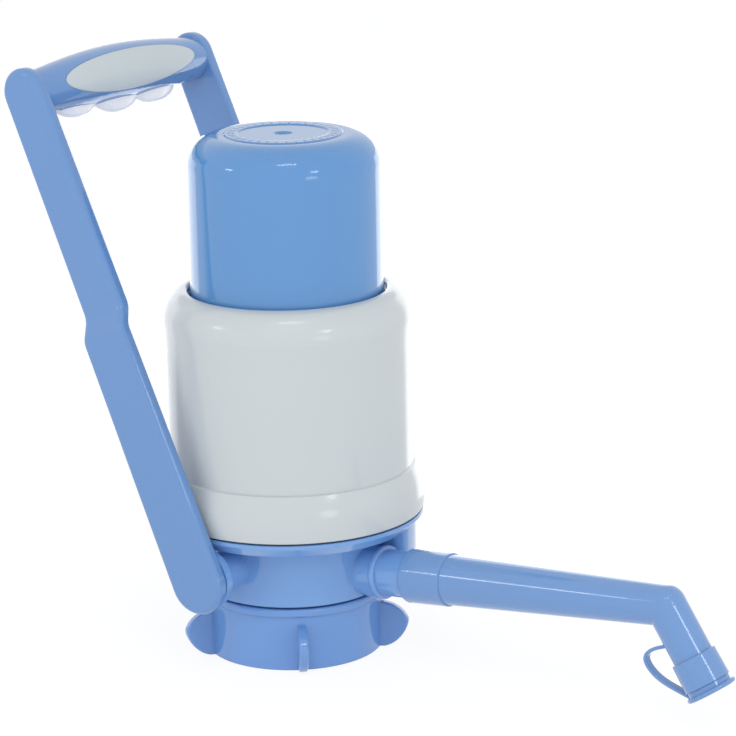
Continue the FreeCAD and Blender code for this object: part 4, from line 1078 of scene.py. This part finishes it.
# --------------------------------------------------------------------- stage
CAMERA_PLACE = Vector((0.62179, -0.82514, 0.37872))
CAMERA_RIGHT = Vector((0.81726, 0.57603, -0.01697))
CAMERA_UP = Vector((-0.13571, 0.22100, 0.96579))
CAMERA_LENS = 146.74
CAMERA_SENSOR = 36.0
CAMERA_NEAR = 0.05
PUMP_MIDDLE = Vector((0.03, 0.0, 0.10))

AMBIENT_TINT = (0.97, 0.985, 1.0, 1.0)
FLOOR_SIZE = 24.0
FLOOR_HEIGHT = -0.0002
FLOOR_COLOUR = (0.96, 0.96, 0.96, 1.0)
FLOOR_ROUGHNESS = 0.9
FLOOR_GLOW = 1.05

# Each lamp's name, place, width and height, the setting that holds its power, whether
# reflections show it, and whether it lights faces.
LAMPS = (
    ("key_lamp", (0.9, -1.3, 1.5), 1.1, 1.1, "key", False, True),
    ("bar_lamp", (0.589, -0.652, 1.349), 0.48, 0.06, "bar", True, True),
    ("side_bar_lamp", (-0.735, -1.145, 0.696), 0.22, 0.08, "side_bar", True, True),
    ("window_lamp", (1.412, -0.571, 0.215), 0.34, 0.20, "window", True, True),
    ("glint_lamp", (1.143, -0.344, 0.615), 0.18, 0.12, "glint", True, False),
    ("left_fill_lamp", (-0.45, -1.10, 0.22), 0.8, 0.4, "fill", False, True),
    ("right_fill_lamp", (1.15, 0.25, 0.22), 0.8, 0.4, "fill", False, True),
    ("left_rim_lamp", (-0.190, 0.095, 0.10), 0.26, 0.20, "rim", True, False),
    ("right_rim_lamp", (-0.034, 0.194, 0.10), 0.20, 0.20, "rim", True, False),
)


def add_lamp(name, place, width, height, watts, mirrored, lights):
    """Rectangular lamp aimed at the pump that reflections show, that lights faces, or both."""
    lamp = bpy.data.lights.new(name, "AREA")
    lamp.shape = "RECTANGLE"
    lamp.size = width
    lamp.size_y = height
    lamp.energy = watts
    holder = bpy.data.objects.new(name, lamp)
    holder.location = place
    aim = PUMP_MIDDLE - Vector(place)
    holder.rotation_euler = aim.to_track_quat("-Z", "Y").to_euler()
    holder.visible_camera = False
    holder.visible_glossy = mirrored
    holder.visible_diffuse = lights
    bpy.context.scene.collection.objects.link(holder)


def add_camera(scene):
    """Camera at the viewing place, made the scene's own."""
    lens = bpy.data.cameras.new("camera")
    lens.sensor_width = CAMERA_SENSOR
    lens.lens = CAMERA_LENS
    lens.clip_start = CAMERA_NEAR
    camera = bpy.data.objects.new("camera", lens)
    back = CAMERA_RIGHT.cross(CAMERA_UP)
    turn = Matrix((CAMERA_RIGHT, CAMERA_UP, back)).transposed().to_4x4()
    camera.matrix_world = Matrix.Translation(CAMERA_PLACE) @ turn
    scene.collection.objects.link(camera)
    scene.camera = camera


def seen_directly(tree, place):
    """1 where a ray comes from the camera, a mirror reflection or through glass."""
    path = add_node(tree, "ShaderNodeLightPath", place)
    first = add_node(tree, "ShaderNodeMath", (place[0] + 200, place[1]), operation="MAXIMUM")
    both = add_node(tree, "ShaderNodeMath", (place[0] + 380, place[1]), operation="MAXIMUM")
    tree.links.new(path.outputs["Is Camera Ray"], first.inputs[0])
    tree.links.new(path.outputs["Is Glossy Ray"], first.inputs[1])
    tree.links.new(first.outputs[0], both.inputs[0])
    tree.links.new(path.outputs["Is Transmission Ray"], both.inputs[1])
    return both


def make_world(ambient):
    """All-round soft light, with a white background where it is seen."""
    world = bpy.data.worlds.new("studio")
    world.use_nodes = True
    tree = world.node_tree
    tree.nodes.clear()
    seen = seen_directly(tree, (-700, 200))
    light = add_node(tree, "ShaderNodeBackground", (-100, 60), inputs={"Strength": ambient})
    light.inputs["Color"].default_value = AMBIENT_TINT
    white = add_node(tree, "ShaderNodeBackground", (-100, -120), inputs={"Strength": 1.0})
    white.inputs["Color"].default_value = WHITE
    mix = add_node(tree, "ShaderNodeMixShader", (160, 0))
    output = add_node(tree, "ShaderNodeOutputWorld", (360, 0))
    tree.links.new(seen.outputs[0], mix.inputs["Fac"])
    tree.links.new(light.outputs[0], mix.inputs[1])
    tree.links.new(white.outputs[0], mix.inputs[2])
    tree.links.new(mix.outputs[0], output.inputs["Surface"])
    bpy.context.scene.world = world


def make_floor(shadow_share):
    """Wide pale floor that shows white and keeps the pump's shadow."""
    deselect_all()
    bpy.ops.mesh.primitive_plane_add(size=FLOOR_SIZE, location=(0, 0, FLOOR_HEIGHT))
    floor = bpy.context.object
    floor.name = "floor"
    bpy.ops.object.transform_apply(location=True, rotation=True, scale=True)
    material, tree, shader = new_material("pale_floor")
    shader.inputs["Base Color"].default_value = FLOOR_COLOUR
    shader.inputs["Roughness"].default_value = FLOOR_ROUGHNESS
    shader.inputs["Specular IOR Level"].default_value = 0.0
    seen = seen_directly(tree, (-700, -300))
    share = add_node(
        tree, "ShaderNodeMath", (-120, -300), operation="MULTIPLY", inputs={1: 1 - shadow_share}
    )
    glow = add_node(tree, "ShaderNodeEmission", (500, -400), inputs={"Strength": FLOOR_GLOW})
    glow.inputs["Color"].default_value = WHITE
    mix = add_node(tree, "ShaderNodeMixShader", (680, -200))
    output = tree.nodes["Material Output"]
    tree.links.new(seen.outputs[0], share.inputs[0])
    tree.links.new(share.outputs[0], mix.inputs["Fac"])
    tree.links.new(shader.outputs[0], mix.inputs[1])
    tree.links.new(glow.outputs[0], mix.inputs[2])
    tree.links.new(mix.outputs[0], output.inputs["Surface"])
    floor.data.materials.append(material)


class PUMP_OT_stage(Operator):
    """Set the camera, the lamps, the pale floor and the white surround"""

    bl_idname = "pump.stage"
    bl_label = "Stage"

    def execute(self, context):
        light = context.scene.pump_stage
        add_camera(context.scene)
        for name, place, width, height, setting, mirrored, lights in LAMPS:
            add_lamp(name, place, width, height, getattr(light, setting), mirrored, lights)
        make_world(light.ambient)
        make_floor(light.floor_shadow)
        context.scene.view_settings.view_transform = "Standard"
        return {"FINISHED"}


# --------------------------------------------------------------------- panel
class PUMP_PT_panel(Panel):
    """Sizes, colours and steps of the hand pump"""

    bl_idname = "PUMP_PT_panel"
    bl_label = "Hand pump"
    bl_space_type = "VIEW_3D"
    bl_region_type = "UI"
    bl_category = "Hand Pump"

    def draw(self, context):
        layout = self.layout
        for operator in OPERATORS:
            layout.operator(operator.bl_idname)
        for name, settings in SETTINGS.items():
            box = layout.box()
            box.label(text=name.removeprefix("pump_").title())
            group = getattr(context.scene, name)
            for key in settings.__annotations__:
                box.prop(group, key)


SETTINGS = {
    "pump_bellows": PumpBellowsSettings,
    "pump_spring": PumpSpringSettings,
    "pump_strap": PumpStrapSettings,
    "pump_neck": PumpNeckSettings,
    "pump_crown": PumpCrownSettings,
    "pump_colours": PumpColours,
    "pump_stage": PumpStageSettings,
}
OPERATORS = (
    PUMP_OT_finishes,
    PUMP_OT_bellows,
    PUMP_OT_spring,
    PUMP_OT_strap,
    PUMP_OT_neck,
    PUMP_OT_crown_ticks,
    PUMP_OT_stage,
)
CLASSES = (*SETTINGS.values(), *OPERATORS, PUMP_PT_panel)


def register():
    """Registers the classes and hangs the settings on the scene."""
    for cls in CLASSES:
        bpy.utils.register_class(cls)
    for name, settings in SETTINGS.items():
        setattr(bpy.types.Scene, name, PointerProperty(type=settings))


def unregister():
    """Takes the settings and the classes away again."""
    for name in SETTINGS:
        delattr(bpy.types.Scene, name)
    for cls in reversed(CLASSES):
        bpy.utils.unregister_class(cls)


def main():
    """Builds the dressed pump and its stage."""
    register()
    bpy.ops.pump.finishes()
    bpy.ops.pump.bellows()
    bpy.ops.pump.spring()
    bpy.ops.pump.strap()
    bpy.ops.pump.neck()
    bpy.ops.pump.crown_ticks()
    bpy.ops.pump.stage()


if __name__ == "__main__":
    main()
